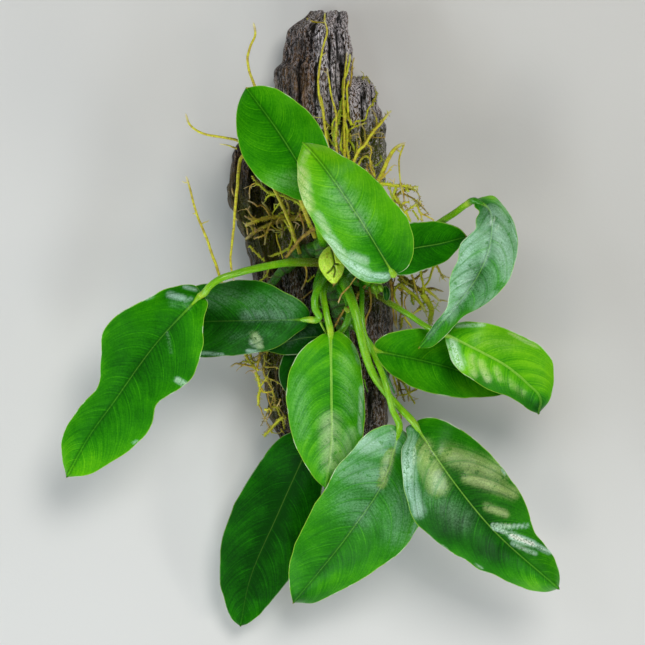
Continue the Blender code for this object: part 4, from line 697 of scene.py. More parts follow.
        ((36, 33, 0.5, 0.15, 1.15, 0, 2), [(27.1, 16.8), (27.6, 13.6), (27.9, 11.1), (28, 8.2),
         (28.3, 4.7), (28.6, 1.5), (29.1, -0.8), (30, -2.8)]),
        ((36, 34, 0.26, 0.1, 0.6, 0, 0), [(29, 18.1), (28.2, 14.6), (26.9, 11.7), (26.4, 9.8)]),
        ((36, 33, 0.5, 0.75, 0.8, 0.3, 1), [(30.9, 15.6), (29.3, 13.6), (28.7, 11.7), (29.1, 9.5),
         (30.3, 7.2), (31.7, 4.9)]),
        ((36, 34, 0.42, 0.3, 0.8, 0.2, 1), [(30, 14), (31.9, 12.4), (33.5, 11.1), (34.1, 10.3)]),
        ((34, 32, 0.26, 0.3, 0.8, 0, 0), [(33.4, 10.3), (32.8, 8.2), (33, 6.3), (34.2, 3.9)]),
        ((36, 33, 0.8, 0.75, 0.75, 0.5, 2), [(30.9, 15.2), (33.5, 13.3), (35.4, 11.7), (37.3, 10.1),
         (38.6, 8.5), (39.9, 6.6), (40.8, 5), (41.6, 3.4)]),
        ((33, 33, 0.85, 0.8, 0.4, 1, 0), [(32.2, 17.8), (34.4, 15.6), (36.4, 14), (37.8, 12.5)]),
        ((37, 34, 0.4, 0.35, 1, 0.1, 1), [(35.2, 19.7), (36.4, 17.2), (37, 14.9), (37.6, 12.4),
         (38.4, 9.8)]),
        ((38, 35, 0.5, 0.65, 0.85, 0.3, 0), [(39.3, 21), (39.6, 18.1), (40.2, 15.6), (40.4, 13.3),
         (40.2, 11.1), (40.8, 8.5)]),
        ((37, 34, 0.48, 0.65, 0.8, 0.2, 0), [(44.7, 22.9), (43.7, 20.4), (43.1, 18.1), (41.8, 15.6),
         (40.2, 14.1), (38.3, 12.4)]),
        ((37, 36, 0.5, 0.5, 0.8, 0.5, 1), [(45.5, 22.9), (46.6, 21), (47.6, 19.1), (48.1, 17.5)]),
        ((36, 36, 0.3, 0.5, 0.8, 0.2, 1), [(47.6, 19), (48.5, 18.8)]),
        ((35, 35, 0.55, 0.6, 0.9, 0.3, 2), [(40.5, 14), (43.1, 12), (45, 10.4), (47, 8.5)]),
        ((35, 36, 0.35, 0.5, 1, 0, 2), [(47, 8.5), (48.1, 9.2)]),
        ((35, 34, 0.22, 0.9, 1, 0, 1), [(46.3, 8), (45.6, 6.3), (44.3, 5.1)]),
        ((36, 33, 1.15, 0.8, 0.8, 0.8, 1), [(40, 11.4), (41.2, 9.2), (42.4, 7.9), (43.3, 6), (43.6, 3.7),
         (43.1, 1.5), (42.8, -1.4)]),
        ((34, 33, 0.4, 0.6, 0.9, 0.2, 1), [(39.6, 5.5), (37.6, 4.4), (36, 2.9)]),
        ((35, 34, 0.5, 0.85, 0.5, 1, 0), [(35.6, 11.1), (36, 8.5), (36.7, 7.1)]),
        ((33, 32, 0.45, 0.5, 0.9, 0.2, 0), [(32.7, 2.3), (33.8, 0.5), (35.1, -1.1), (35.9, -2.2)]),
        ((33, 31, 0.45, 0.5, 0.5, 1, 0), [(32, 1.8), (31.6, -0.8), (31.2, -2.7)]),
        ((35, 32, 0.32, 0.4, 0.7, 0.2, 0), [(29.3, 4.7), (29.6, 1.5), (29.4, -1.1)]),
        ((33, 34, 0.32, 0.3, 1, 0, 2), [(43.1, 8.2), (43.9, 8.5), (44.8, 9.1)]),
        ((35, 34, 0.5, 0.7, 0.5, 1, 0), [(30.3, 17.5), (31.6, 16.2), (33.2, 15.9), (34.8, 15.2)]),
        ((36, 35, 0.4, 0.6, 0.6, 1, 0), [(31.2, 18.4), (32.5, 16.8), (33.8, 14.6)]),
    ],
    "root_mass_lower_left": [
        ((27, 25, 0.62, 0.6, 0.7, 0.9, 0), [(-30.8, -12.5), (-29.8, -14.8), (-28.2, -16.7),
         (-26.9, -18.6), (-26.6, -20.2), (-26, -21.8), (-25.5, -23.4), (-25.2, -25), (-24.8, -26.9),
         (-25.5, -28.8), (-25.6, -30.8), (-25.8, -32.9)]),
        ((25, 22, 0.26, 0.2, 0.6, 0.3, 0), [(-25.8, -32.8), (-24.7, -34.3), (-24.2, -36.2),
         (-22.7, -38.8)]),
        ((22, 22, 0.6, 0.35, 0.9, 0.3, 2), [(-23, -38.6), (-22.6, -39), (-22.1, -39.2)]),
        ((22, 20, 0.24, 0.2, 0.6, 0.2, 0), [(-22.6, -39.1), (-21.8, -40.7), (-20.9, -42.4)]),
        ((27, 26, 0.42, 0.3, 0.85, 0.2, 2), [(-27.6, -17.8), (-30.1, -17.2), (-33, -16.7), (-34.6, -16.4),
         (-35.7, -17), (-36.9, -17.9)]),
        ((27, 27, 0.3, 0.6, 0.6, 0.8, 0), [(-28.2, -16.5), (-30.1, -15.8), (-32, -15.6), (-33.3, -16.7)]),
        ((28, 27, 0.5, 0.25, 0.7, 0.3, 0), [(-24.8, -11.9), (-25.3, -14.8), (-26, -17), (-26.2, -18.9)]),
        ((28, 27, 0.45, 0.6, 0.5, 1, 0), [(-28.8, -12.8), (-28.2, -15.1), (-26.9, -16), (-25.3, -14.8)]),
        ((29, 28, 0.35, 0.6, 0.4, 0.8, 0), [(-23.6, -12.8), (-22.8, -15.1), (-20.4, -16.8)]),
        ((27, 27, 0.5, 0.2, 0.9, 0, 2), [(-26.8, -19), (-27.4, -19.6), (-28.1, -20.1)]),
        ((27, 27, 0.45, 0.5, 0.9, 0.2, 0), [(-26.4, -18.4), (-25.4, -19.4)]),
        ((26, 28, 0.28, 0.55, 0.7, 0.6, 0), [(-24.7, -25.6), (-23.7, -24), (-22.8, -22.8), (-21.8, -21.7)]),
        ((27, 27, 0.25, 0.55, 0.7, 0.5, 0), [(-24.5, -23.1), (-23.7, -24.1)]),
        ((26, 28, 0.34, 0.4, 0.8, 0.8, 0), [(-24.8, -26.1), (-23.4, -27.9), (-21.8, -27.9),
         (-20.5, -27.6), (-19.5, -27.4)]),
        ((28, 27, 0.24, 0.15, 0.6, 0.2, 0), [(-21.8, -28), (-21.8, -30.1), (-21.2, -32), (-20.5, -34)]),
        ((24, 26, 0.4, 0.5, 0.9, 1, 0), [(-23.2, -34.6), (-22.1, -35.1), (-21.2, -34.6), (-20.5, -35.6)]),
        ((26, 22, 0.22, 0.15, 0.8, 0, 1), [(-20.5, -35.8), (-21.5, -37.5), (-22.1, -38.8)]),
        ((26, 20, 0.42, 0.6, 0.6, 0.9, 0), [(-20.5, -34), (-18.9, -33.6), (-18, -34.6), (-17.3, -36.2),
         (-16.7, -37.8), (-15.7, -39.7), (-15.3, -42.4)]),
        ((28, 26, 0.28, 0.25, 0.8, 0.1, 1), [(-16.8, -30.6), (-17.5, -32.4), (-18.4, -33.7)]),
        ((23, 17, 0.68, 0.6, 0.75, 0.9, 0), [(-14.6, -37.3), (-16.7, -38.4), (-18, -39.7), (-19.2, -41),
         (-20.5, -42.6), (-21.8, -43.9), (-23.5, -45.2)]),
        ((19, 19, 0.35, 0.6, 0.7, 0.8, 0), [(-20.7, -43.2), (-19.8, -44.4)]),
        ((20, 19, 0.32, 0.4, 0.7, 0.5, 0), [(-16.7, -42.6), (-15.4, -44.3)]),
    ],
    "root_mass_lower_right": [
        ((27, 26, 0.42, 0.4, 0.8, 0.3, 1), [(28.1, -20.6), (29, -23.8), (29.8, -26.6), (30.4, -29.6)]),
        ((28, 26, 0.4, 0.6, 0.8, 0.4, 0), [(32.9, -24.8), (33.8, -27), (34.6, -28.6), (35.8, -30.6),
         (37.1, -32.5)]),
        ((28, 27, 0.3, 0.6, 0.8, 0.6, 0), [(34.7, -25.4), (35.1, -27.4)]),
        ((27, 27, 0.36, 0.5, 0.8, 0.5, 0), [(37.9, -26.6), (36.2, -27.4), (33.8, -28.6), (30.5, -29.1)]),
        ((27, 26, 0.38, 0.3, 1, 0, 2), [(34.3, -29.2), (34.6, -31.9)]),
        ((20, 18, 0.3, 0.5, 0.5, 0.8, 0), [(30.6, -36.4), (31.4, -37.2), (31, -40)]),
        ((24, 23, 0.25, 0.4, 0.6, 0.3, 0), [(28.6, -31), (28.9, -34.4)]),
        ((26, 27, 0.6, 0.4, 0.5, 0.6, 0), [(26, -12), (27, -16.2), (28, -20.6)]),
        ((27, 28, 0.5, 0.5, 0.6, 0.6, 0), [(27.8, -19), (30.2, -22.2), (33, -25)]),
    ],
    "roots_centre": [
        ((45, 43, 0.3, 0.1, 0.4, 0, 0), [(-8, 9.3), (-6, 11.3), (-3.6, 13.2)]),
        ((60, 58, 0.22, 0.35, 0.6, 0, 0), [(13.4, 18.2), (12, 16.3), (10.7, 14.4)]),
        ((58, 56, 0.34, 0.15, 0.8, 0.2, 1), [(10.7, 14.4), (9.3, 13), (7.7, 11.3), (7, 9.7), (6.3, 7.6)]),
        ((46, 46, 0.5, 0.2, 0.7, 0.6, 0), [(17.8, 15.8), (16.3, 13.7), (14.7, 12), (13.8, 10.3),
         (13.1, 8.9)]),
        ((45, 42, 0.38, 0.2, 0.8, 0.1, 0), [(17.7, 16), (18.7, 13.7), (19.1, 11.7), (19.3, 9.7),
         (19.3, 6.7), (18.3, 3.7), (17.3, 1), (17.1, -1.7), (16.3, -3.2)]),
        ((52, 44, 0.42, 0.15, 0.7, 0.2, 0), [(10.7, 6.5), (8.7, 5), (7.7, 3.3), (6.3, 1), (4.6, -2.1)]),
        ((44, 42, 0.3, 0.7, 0.6, 0.5, 0), [(-6.2, 16.3), (-5, 17.2), (-3.5, 18.7)]),
        ((42, 43, 0.35, 0.15, 0.4, 0.4, 0), [(14, 17), (15.7, 15.3), (17.3, 15.3), (19.3, 14.3)]),
    ],
}


def spot(points):
    """Real places of points noted as the photo's camera sees them: raised ones are drawn in."""
    placed = np.array(points, float)
    placed[..., :2] *= 1 - placed[..., 2:] / EYE_HEIGHT
    return placed


def as_seen(points):
    """Where the photo's camera sees real places."""
    return points[..., :2] / (1 - points[..., 2:] / EYE_HEIGHT)


def curve(points, shares):
    """Places at shares of the way along the smooth curve through the points, of any dimension."""
    points = np.asarray(points, float)
    runs = np.maximum(np.linalg.norm(np.diff(points, axis=0), axis=1), 1e-6)
    knots = np.concatenate(([0.0], np.cumsum(runs)))
    chords = np.diff(points, axis=0) / runs[:, None]
    slopes = np.vstack((chords[:1], chords[-1:])) if len(points) == 2 else None
    if slopes is None:
        weight = (runs[:-1] / (runs[:-1] + runs[1:]))[:, None]
        slopes = np.vstack((chords[:1], chords[:-1] * (1 - weight) + chords[1:] * weight, chords[-1:]))
    place = np.clip(shares, 0, 1) * knots[-1]
    i = np.clip(np.searchsorted(knots[1:], place), 0, len(points) - 2)
    s = ((place - knots[i]) / runs[i])[..., None]
    span = runs[i][..., None]
    h00, h10 = 2 * s**3 - 3 * s**2 + 1, s**3 - 2 * s**2 + s
    h01, h11 = -2 * s**3 + 3 * s**2, s**3 - s**2
    return points[i] * h00 + slopes[i] * h10 * span + points[i + 1] * h01 + slopes[i + 1] * h11 * span


def length_of(points):
    """The length of the straight runs through the points."""
    return float(np.linalg.norm(np.diff(np.asarray(points, float), axis=0), axis=1).sum())


def evenly(route, step, fewest=2):
    """The smooth route with a point about every step."""
    count = max(fewest, round(length_of(route) / step))
    return curve(route, np.linspace(0, 1, count + 1))


def unit(vectors):
    """Each vector at length 1."""
    return vectors / np.maximum(np.linalg.norm(vectors, axis=-1, keepdims=True), 1e-9)


def bell(distance, reach):
    """1 at no distance, fading away smoothly about a reach from there."""
    return np.exp(-((distance / reach) ** 2))


def turns_round(sides):
    """The angles of evenly spaced points round a circle."""
    return 2 * np.pi * np.arange(sides) / sides


NOISE_SIZE = 48
NOISE_TABLE = np.random.default_rng(7).uniform(-1, 1, (NOISE_SIZE,) * 3)


def noise(*axes):
    """Smooth noise from -1 to 1 over one to three axes, with bumps about one unit apart."""
    axes = [np.asarray(a, float) for a in axes] + [np.asarray(0.37)] * (3 - len(axes))
    axes = np.broadcast_arrays(*axes)
    low = [np.floor(a).astype(int) for a in axes]
    part = [a - b for a, b in zip(axes, low)]
    part = [p * p * (3 - 2 * p) for p in part]
    total = 0
    for corner in itertools.product((0, 1), repeat=3):
        weight = 1
        for p, c in zip(part, corner):
            weight = weight * (p if c else 1 - p)
        i, j, k = [(b + c) % NOISE_SIZE for b, c in zip(low, corner)]
        total = total + weight * NOISE_TABLE[i, j, k]
    return total


def ridged(*axes):
    """Noise from -1 to 1 with narrow valleys, for fibres."""
    return 1 - 2 * (1 - np.abs(noise(*axes))) ** 3


def grid_faces(rows, columns, closed=False, flip=False):
    """Quads between the rows of a grid of points, closed round its columns if asked."""
    index = np.arange(rows * columns).reshape(rows, columns)
    if closed:
        index = np.hstack((index, index[:, :1]))
    quads = np.stack((index[:-1, :-1], index[:-1, 1:], index[1:, 1:], index[1:, :-1]), -1).reshape(-1, 4)
    return quads[:, ::-1] if flip else quads


def closed_faces(rows, columns):
    """Faces of a grid closed round its columns, with a fan to one more point at either end."""
    first = np.arange(columns)
    last = (rows - 1) * columns + first
    return [
        grid_faces(rows, columns, closed=True),
        np.stack((first, np.roll(first, -1), np.full(columns, rows * columns)), -1)[:, ::-1],
        np.stack((last, np.roll(last, -1), np.full(columns, rows * columns + 1)), -1),
    ]


class Gather:
    """Collects points, faces and values for each point, and makes one piece of them."""

    def __init__(self):
        self.points, self.faces, self.values = [], [], []
        self.count = 0

    def add(self, points, faces, **values):
        points = np.asarray(points, float).reshape(-1, 3)
        self.points.append(points)
        self.faces += [np.asarray(group) + self.count for group in faces]
        self.values.append({key: np.broadcast_to(value, (len(points),)) for key, value in values.items()})
        self.count += len(points)

    def piece(self, node, slot, finish, own_name=None):
        """The finished object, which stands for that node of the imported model, or for none."""
        name = own_name or node + "_fine"
        mesh = bpy.data.meshes.new(name)
        faces = [face for group in self.faces for face in group.tolist()]
        mesh.from_pydata((np.vstack(self.points) * METRE).tolist(), [], faces)
        for key in self.values[0]:
            column = np.concatenate([group[key] for group in self.values]).astype(np.float32)
            mesh.attributes.new(key, "FLOAT", "POINT").data.foreach_set("value", column)
        mesh.shade_smooth()
        mesh.materials.append(finish)
        made = bpy.data.objects.new(name, mesh)
        bpy.context.scene.collection.objects.link(made)
        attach(made, "root")
        if node:
            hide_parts(node)
        return made


class Finish:
    """A procedural material. Each method adds a node and gives back its output."""

    def __init__(self, name, settings):
        self.material = bpy.data.materials.new(name)
        self.material.use_nodes = True
        self.tree = self.material.node_tree
        self.shader = self.tree.nodes["Principled BSDF"]
        for socket, value in settings.items():
            self.shader.inputs[socket].default_value = value
        place = self.node("ShaderNodeTexCoord", {}, "Object")
        self.place = self.node("ShaderNodeVectorMath", {0: place, "Scale": 1 / METRE}, operation="SCALE")

    def node(self, kind, inputs, output=0, **settings):
        made = self.tree.nodes.new(kind)
        for key, value in settings.items():
            setattr(made, key, value)
        for key, value in inputs.items():
            self.feed(made.inputs[key], value)
        return made.outputs[output]

    def feed(self, socket, value):
        if isinstance(value, bpy.types.NodeSocket):
            self.tree.links.new(value, socket)
        elif isinstance(value, tuple) and len(value) == 3 and socket.type == "RGBA":
            socket.default_value = (*value, 1)
        else:
            socket.default_value = value

    def value(self, name):
        """A value that the mesh holds for each point."""
        return self.node("ShaderNodeAttribute", {}, "Fac", attribute_name=name)

    def values(self, *names):
        return [self.value(name) for name in names]

    def worked_out(self, kind, first, *others):
        """The result of one kind of arithmetic, carried on from value to value."""
        for other in others:
            first = self.node("ShaderNodeMath", {0: first, 1: other}, operation=kind)
        return first

    def sum(self, *values):
        return self.worked_out("ADD", *values)

    def times(self, *values):
        return self.worked_out("MULTIPLY", *values)

    def fade(self, value, low, high, to_low=0.0, to_high=1.0):
        """Goes smoothly from to_low to to_high as the value goes from low to high."""
        inputs = {"Value": value, "From Min": low, "From Max": high, "To Min": to_low, "To Max": to_high}
        return self.node("ShaderNodeMapRange", inputs, interpolation_type="SMOOTHSTEP")

    def sway(self, value, pattern, amount, low=0.3, high=0.7):
        """The value, from an amount less to an amount more as the pattern goes from low to high."""
        return self.sum(value, self.fade(pattern, low, high, -amount, amount))

    def vector(self, x, y, z):
        return self.node("ShaderNodeCombineXYZ", {0: x, 1: y, 2: z})

    def stretched(self, x, y, z):
        """The place in millimetres, scaled on each axis."""
        return self.node("ShaderNodeVectorMath", {0: self.place, 1: (x, y, z)}, operation="MULTIPLY")

    def noise(self, scale=1.0, vector=None, detail=3.0, roughness=0.5):
        inputs = {"Vector": vector or self.place, "Scale": scale, "Detail": detail, "Roughness": roughness}
        return self.node("ShaderNodeTexNoise", inputs, 0)

    def mix(self, share, a, b):
        return self.node("ShaderNodeMix", {0: share, 6: a, 7: b}, 2, data_type="RGBA")

    def ramp(self, value, *stops):
        """Colours at their places; the first two stops are the lowest and the highest."""
        made = self.tree.nodes.new("ShaderNodeValToRGB")
        for n, (place, colour) in enumerate(stops):
            stop = made.color_ramp.elements[n] if n < 2 else made.color_ramp.elements.new(place)
            stop.position = place
            stop.color = (*colour, 1)
        self.feed(made.inputs[0], value)
        return made.outputs[0]

    def bumps(self, *layers):
        """Bumps from one or more patterns, each with its height in millimetres."""
        normal = None
        for pattern, height in layers:
            inputs = {"Height": pattern, "Distance": height * METRE, "Strength": 1.0}
            if normal:
                inputs["Normal"] = normal
            normal = self.node("ShaderNodeBump", inputs)
        return normal

    def done(self, colour, roughness, normal):
        self.feed(self.shader.inputs["Base Color"], colour)
        self.feed(self.shader.inputs["Roughness"], roughness)
        self.feed(self.shader.inputs["Normal"], normal)
        return self.material


def leaf_finish(name, roughness, level):
    """Leathery green with fine veins and thin paler margins, glossy above and duller below."""
    f = Finish(name, {"Specular IOR Level": level, "Coat Roughness": 0.07})
    phase, rib, edge, pale = f.values("phase", "rib", "edge", "pale")
    under, along, bloom, fresh = f.values("under", "along", "bloom", "fresh")

    # Patterns that run with the side veins, and ones that don't
    streaks = f.noise(1.0, f.vector(f.times(phase, 6.0), f.times(rib, 0.07), 0.0), 3.0, 0.6)
    hairlines = f.noise(1.0, f.vector(f.times(phase, 17.0), f.times(rib, 0.12), 3.0), 2.0, 0.5)
    blotches = f.noise(0.09, None, 3.0, 0.55)
    mottle = f.noise(1.3, None, 3.0, 0.65)
    grains = f.noise(2.4, None, 2.0, 0.6)
    spots = f.noise(0.45, None, 3.0, 0.6)
    painted_rim_highlights = f.noise(0.14, None, 2.0, 0.6)

    # Side veins, each of its own strength, with finer ones between them, and the profile of each pleat
    # across the leaf, for painted light and shade on its flanks
    valley = f.worked_out("PINGPONG", phase, 0.5)
    nearest = f.worked_out("ROUND", phase, 0.0)
    own = f.noise(1.0, f.vector(f.times(nearest, 3.7), 1.3, f.times(rib, 0.05)), 1.0, 0.5)
    inside = f.fade(edge, 0.6, 6.0)
    vein = f.times(f.fade(valley, 0.012, 0.05, 1.0, 0.0), f.times(inside, f.fade(own, 0.35, 0.6, 0.15, 1.0)))
    vein = f.times(vein, f.fade(rib, 3.0, 18.0, 1.0, 0.3))
    finer = f.sway(f.times(phase, 5.0), streaks, 0.5)
    minor = f.fade(f.worked_out("PINGPONG", finer, 0.5), 0.0, 0.14, 1.0, 0.0)
    part = f.worked_out("FRACT", phase, 0.0)
    pleat_shading = f.times(f.fade(part, 0.02, 0.3), f.fade(part, 0.45, 0.98, 1.0, 0.25))

    # How yellow-green each place is
    green = f.sway(fresh, streaks, 0.055)
    green = f.sway(green, blotches, 0.06, 0.35, 0.65)
    green = f.sway(green, mottle, 0.045)
    green = f.sway(green, hairlines, 0.045)
    green = f.sum(
        green,
        f.fade(grains, 0.6, 0.75, 0.0, 0.12),
        f.fade(rib, 0.4, 6.0, -0.07, 0.02),
        f.times(vein, 0.17),
        f.times(minor, inside, f.fade(mottle, 0.35, 0.6, 0.015, 0.08)),
        # Painted light and shade on the flanks of the pleats
        f.times(f.fade(pleat_shading, 0.2, 1.0, -0.09, 0.07), inside, f.fade(pale, 0.6, 0.9, 0.2, 1.0)))
    colour = f.ramp(
        green, (0.0, (0.0022, 0.045, 0.001)), (1.0, (0.2, 0.6, 0.006)), (0.15, (0.005, 0.087, 0.001)),
        (0.3, (0.011, 0.155, 0.001)), (0.45, (0.021, 0.225, 0.001)), (0.6, (0.047, 0.325, 0.002)),
        (0.8, (0.108, 0.46, 0.003)))

    # The midrib: a dark line on either side of a pale one, which flares out at the base
    shadow = f.times(
        f.fade(rib, 0.35, 1.3, 0.5, 0.0), f.fade(rib, 0.15, 0.35), f.fade(pale, 0.5, 0.8, 1.0, 0.3))
    colour = f.mix(shadow, colour, (0.004, 0.06, 0.001))
    broadening = f.sum(f.fade(along, 0.0, 0.22, -0.4, 0.0), f.fade(pale, 0.5, 0.9, 0.0, -0.25))
    line = f.times(
        f.fade(f.sum(rib, broadening), 0.06, 0.26, 1.0, 0.0),
        f.fade(along, 0.4, 1.0, 1.0, 0.25),
        f.fade(mottle, 0.3, 0.6, 0.7, 1.1),
        pale)
    colour = f.mix(line, colour, (0.26, 0.56, 0.06))
    flare = f.fade(f.sum(f.times(along, 9.0), f.times(rib, 0.8)), 0.3, 1.4, 0.85, 0.0)
    colour = f.mix(f.times(flare, f.fade(pale, 0.1, 0.5, 0.4, 1.0)), colour, (0.24, 0.52, 0.012))

    # The pale margin, with painted highlights along stretches of it, and the tip
    rim = f.times(f.fade(edge, 0.05, 0.42, 0.9, 0.0), f.fade(fresh, 0.15, 0.45, 0.4, 1.0))
    colour = f.mix(rim, colour, f.mix(f.fade(painted_rim_highlights, 0.52, 0.6), (0.34, 0.62, 0.05), (0.7, 0.85, 0.5)))
    tip = f.fade(f.sum(along, f.times(edge, -0.012)), 0.978, 0.992)
    colour = f.mix(tip, colour, (0.42, 0.36, 0.04))

    # The painted sheens: pale colour that stands in for reflections, broken up by the patterns
    lines = f.sum(f.times(streaks, 0.5), f.sum(f.times(hairlines, 0.3), f.times(grains, 0.2)))
    body = f.times(bloom, f.fade(lines, 0.35, 0.65, 0.7, 1.3))
    body = f.fade(f.sway(body, mottle, 0.03), 0.0, 0.2)
    facets = f.times(f.fade(bloom, 0.55, 0.9), f.fade(mottle, 0.44, 0.54, -0.75, 0.0))
    painted_sheen_share = f.times(
        bloom, body,
        f.fade(f.times(f.sum(grains, mottle), 0.5), 0.38, 0.6, 0.7, 1.22),
        f.fade(hairlines, 0.35, 0.62, 0.85, 1.12),
        f.fade(pleat_shading, 0.0, 0.8, 0.74, 1.1),
        f.fade(spots, 0.34, 0.4, 0.3, 1.0),
        f.sum(facets, 1.0),
        f.fade(valley, 0.02, 0.12, 0.6, 1.0))
    painted_sheen = f.mix(f.value("warm"), (0.52, 0.82, 0.64), (0.62, 0.78, 0.26))
    painted_sheen = f.mix(f.fade(bloom, 0.85, 1.2), painted_sheen, (0.92, 0.98, 0.88))
    colour = f.mix(f.worked_out("MINIMUM", painted_sheen_share, PAINTED_SHEEN_LIMIT), colour, painted_sheen)
    colour = f.mix(f.times(under, 0.6), colour, (0.07, 0.2, 0.03))

    rough = f.fade(mottle, 0.3, 0.7, roughness - 0.04, roughness + 0.04)
    normal = f.bumps((streaks, 0.07), (hairlines, 0.05), (grains, 0.07))
    f.feed(f.shader.inputs["Coat Weight"], f.times(body, f.fade(bloom, 0.0, 0.5)))
    f.feed(f.shader.inputs["Coat Normal"], normal)
    return f.done(colour, f.sum(rough, f.times(under, 0.15)), normal)


def stem_finish():
    """Fresh green stalks, reddish brown low down and paler at the joint below the blade."""
    f = Finish("anubias_petiole", {"Specular IOR Level": 0.48})
    along, blush, pale, around, seed, fresh = f.values("along", "blush", "pale", "around", "seed", "fresh")
    streaks = f.noise(1.0, f.vector(f.times(around, 2.2), f.times(along, 2.5), seed), 3.0, 0.6)
    specks = f.noise(2.0, None, 2.0, 0.6)
    green = f.ramp(
        f.sway(fresh, streaks, 0.14),
        (0.0, (0.008, 0.1, 0.002)), (1.0, (0.26, 0.58, 0.006)), (0.45, (0.05, 0.33, 0.003)))
    brown = f.mix(f.fade(specks, 0.35, 0.65), (0.09, 0.035, 0.008), (0.24, 0.13, 0.015))
    colour = f.mix(f.times(blush, f.fade(streaks, 0.2, 0.55, 0.6, 1.0)), green, brown)
    colour = f.mix(f.fade(specks, 0.6, 0.75, 0.0, 0.35), colour, (0.3, 0.6, 0.06))
    colour = f.mix(pale, colour, (0.52, 0.68, 0.05))
    return f.done(colour, f.fade(specks, 0.3, 0.7, 0.18, 0.32), f.bumps((streaks, 0.14), (specks, 0.05)))


def rhizome_finish():
    """Dark green and brown, ringed with leaf scars, with a fresh green growing tip."""
    f = Finish("anubias_rhizome", {"Specular IOR Level": 0.5})
    scar, bud = f.values("scar", "bud")
    patches = f.noise(0.45, None, 4.0, 0.6)
    specks = f.noise(1.8, None, 3.0, 0.65)
    colour = f.ramp(
        patches, (0.3, (0.015, 0.1, 0.003)), (0.72, (0.14, 0.42, 0.01)), (0.5, (0.045, 0.24, 0.005)))
    colour = f.mix(f.fade(specks, 0.55, 0.75, 0.0, 0.6), colour, (0.22, 0.3, 0.02))
    colour = f.mix(f.times(scar, 0.8), colour, (0.06, 0.035, 0.01))
    colour = f.mix(bud, colour, f.mix(patches, (0.2, 0.5, 0.01), (0.42, 0.7, 0.04)))
    return f.done(colour, f.fade(specks, 0.3, 0.7, 0.22, 0.45), f.bumps((patches, 0.5), (specks, 0.15)))


def root_finish(name, roughness):
    """Wrinkled roots from brown through yellow to green, each with its own tone, paler at the tips."""
    f = Finish(name, {"Specular IOR Level": 0.5})
    blotches = f.noise(0.6, None, 3.0, 0.6)
    specks = f.noise(2.0, None, 3.0, 0.65)
    hue = f.sway(f.value("hue"), blotches, 0.15)
    tone = f.sway(f.value("tone"), specks, 0.22)
    tone = f.sum(tone, f.fade(blotches, 0.3, 0.7, -0.14, 0.12))
    colour = f.ramp(
        hue, (0.0, (0.36, 0.16, 0.035)), (1.0, (0.42, 0.62, 0.01)), (0.3, (0.66, 0.46, 0.04)),
        (0.6, (0.78, 0.76, 0.025)))
    colour = f.mix(f.fade(tone, 0.0, 1.0, 0.95, 0.0), colour, (0.035, 0.026, 0.002))
    colour = f.mix(f.value("tip"), colour, (0.85, 0.75, 0.6))
    rough = f.fade(specks, 0.3, 0.7, roughness - 0.14, roughness + 0.1)
    return f.done(colour, rough, f.bumps((blotches, 0.25), (specks, 0.16)))


def wood_finish():
    """Dark wet wood: brown beaded fibres, dark furrows that are partly painted shade, lilac-grey flecks that
    are partly pale broken wood and partly painted highlights, and wet highlights from its gloss.
    """
    f = Finish("wet_driftwood", {"Specular IOR Level": 0.55})
    grain, wear_and_highlight_share, moss = f.values("grain", "worn", "moss")
    fibres = f.noise(1.0, f.stretched(1.1, 0.08, 1.1), 3.0, 0.6)
    threads = f.noise(1.0, f.stretched(2.0, 0.3, 2.0), 3.0, 0.6)
    flecks = f.noise(1.0, f.stretched(1.7, 0.6, 1.7), 3.0, 0.7)
    pits = f.noise(1.5, None, 3.0, 0.7)
    patches = f.noise(0.05, None, 3.0, 0.55)
    # Tone from the relief: the wood's own tone, with painted light on what stands out and painted shade in
    # furrows and clefts
    tone = f.sway(f.fade(grain, -0.8, 0.7, -0.08, 0.6), fibres, 0.2, 0.35, 0.65)
    tone = f.sum(tone, f.fade(threads, 0.3, 0.7, -0.14, 0.16))
    tone = f.sway(tone, pits, 0.16)
    colour = f.ramp(
        tone, (0.0, (0.004, 0.002, 0.001)), (1.0, (0.38, 0.23, 0.12)), (0.25, (0.014, 0.006, 0.001)),
        (0.48, (0.065, 0.028, 0.007)), (0.72, (0.17, 0.085, 0.032)))
    # Lilac-grey flecks: partly pale broken wood, partly painted highlights
    fleck_field = f.sum(flecks, f.fade(wear_and_highlight_share, 0.5, 1.0, 0.0, 0.045))
    worn = f.times(
        f.fade(fleck_field, 0.51, 0.55), f.fade(grain, -0.7, 0.0), f.fade(threads, 0.4, 0.5, 0.4, 1.0), wear_and_highlight_share)
    colour = f.mix(worn, colour, (1.0, 0.92, 0.96))
    earthy = f.mix(tone, (0.014, 0.008, 0.001), (0.18, 0.1, 0.015))
    colour = f.mix(f.fade(patches, 0.45, 0.65, 0.0, 0.4), colour, earthy)
    colour = f.mix(f.times(moss, f.fade(pits, 0.35, 0.55)), colour, (0.1, 0.12, 0.003))
    normal = f.bumps((fibres, 1.3), (flecks, 1.1), (threads, 0.5), (pits, 0.6))
    return f.done(colour, f.fade(pits, 0.3, 0.7, 0.24, 0.12), normal)


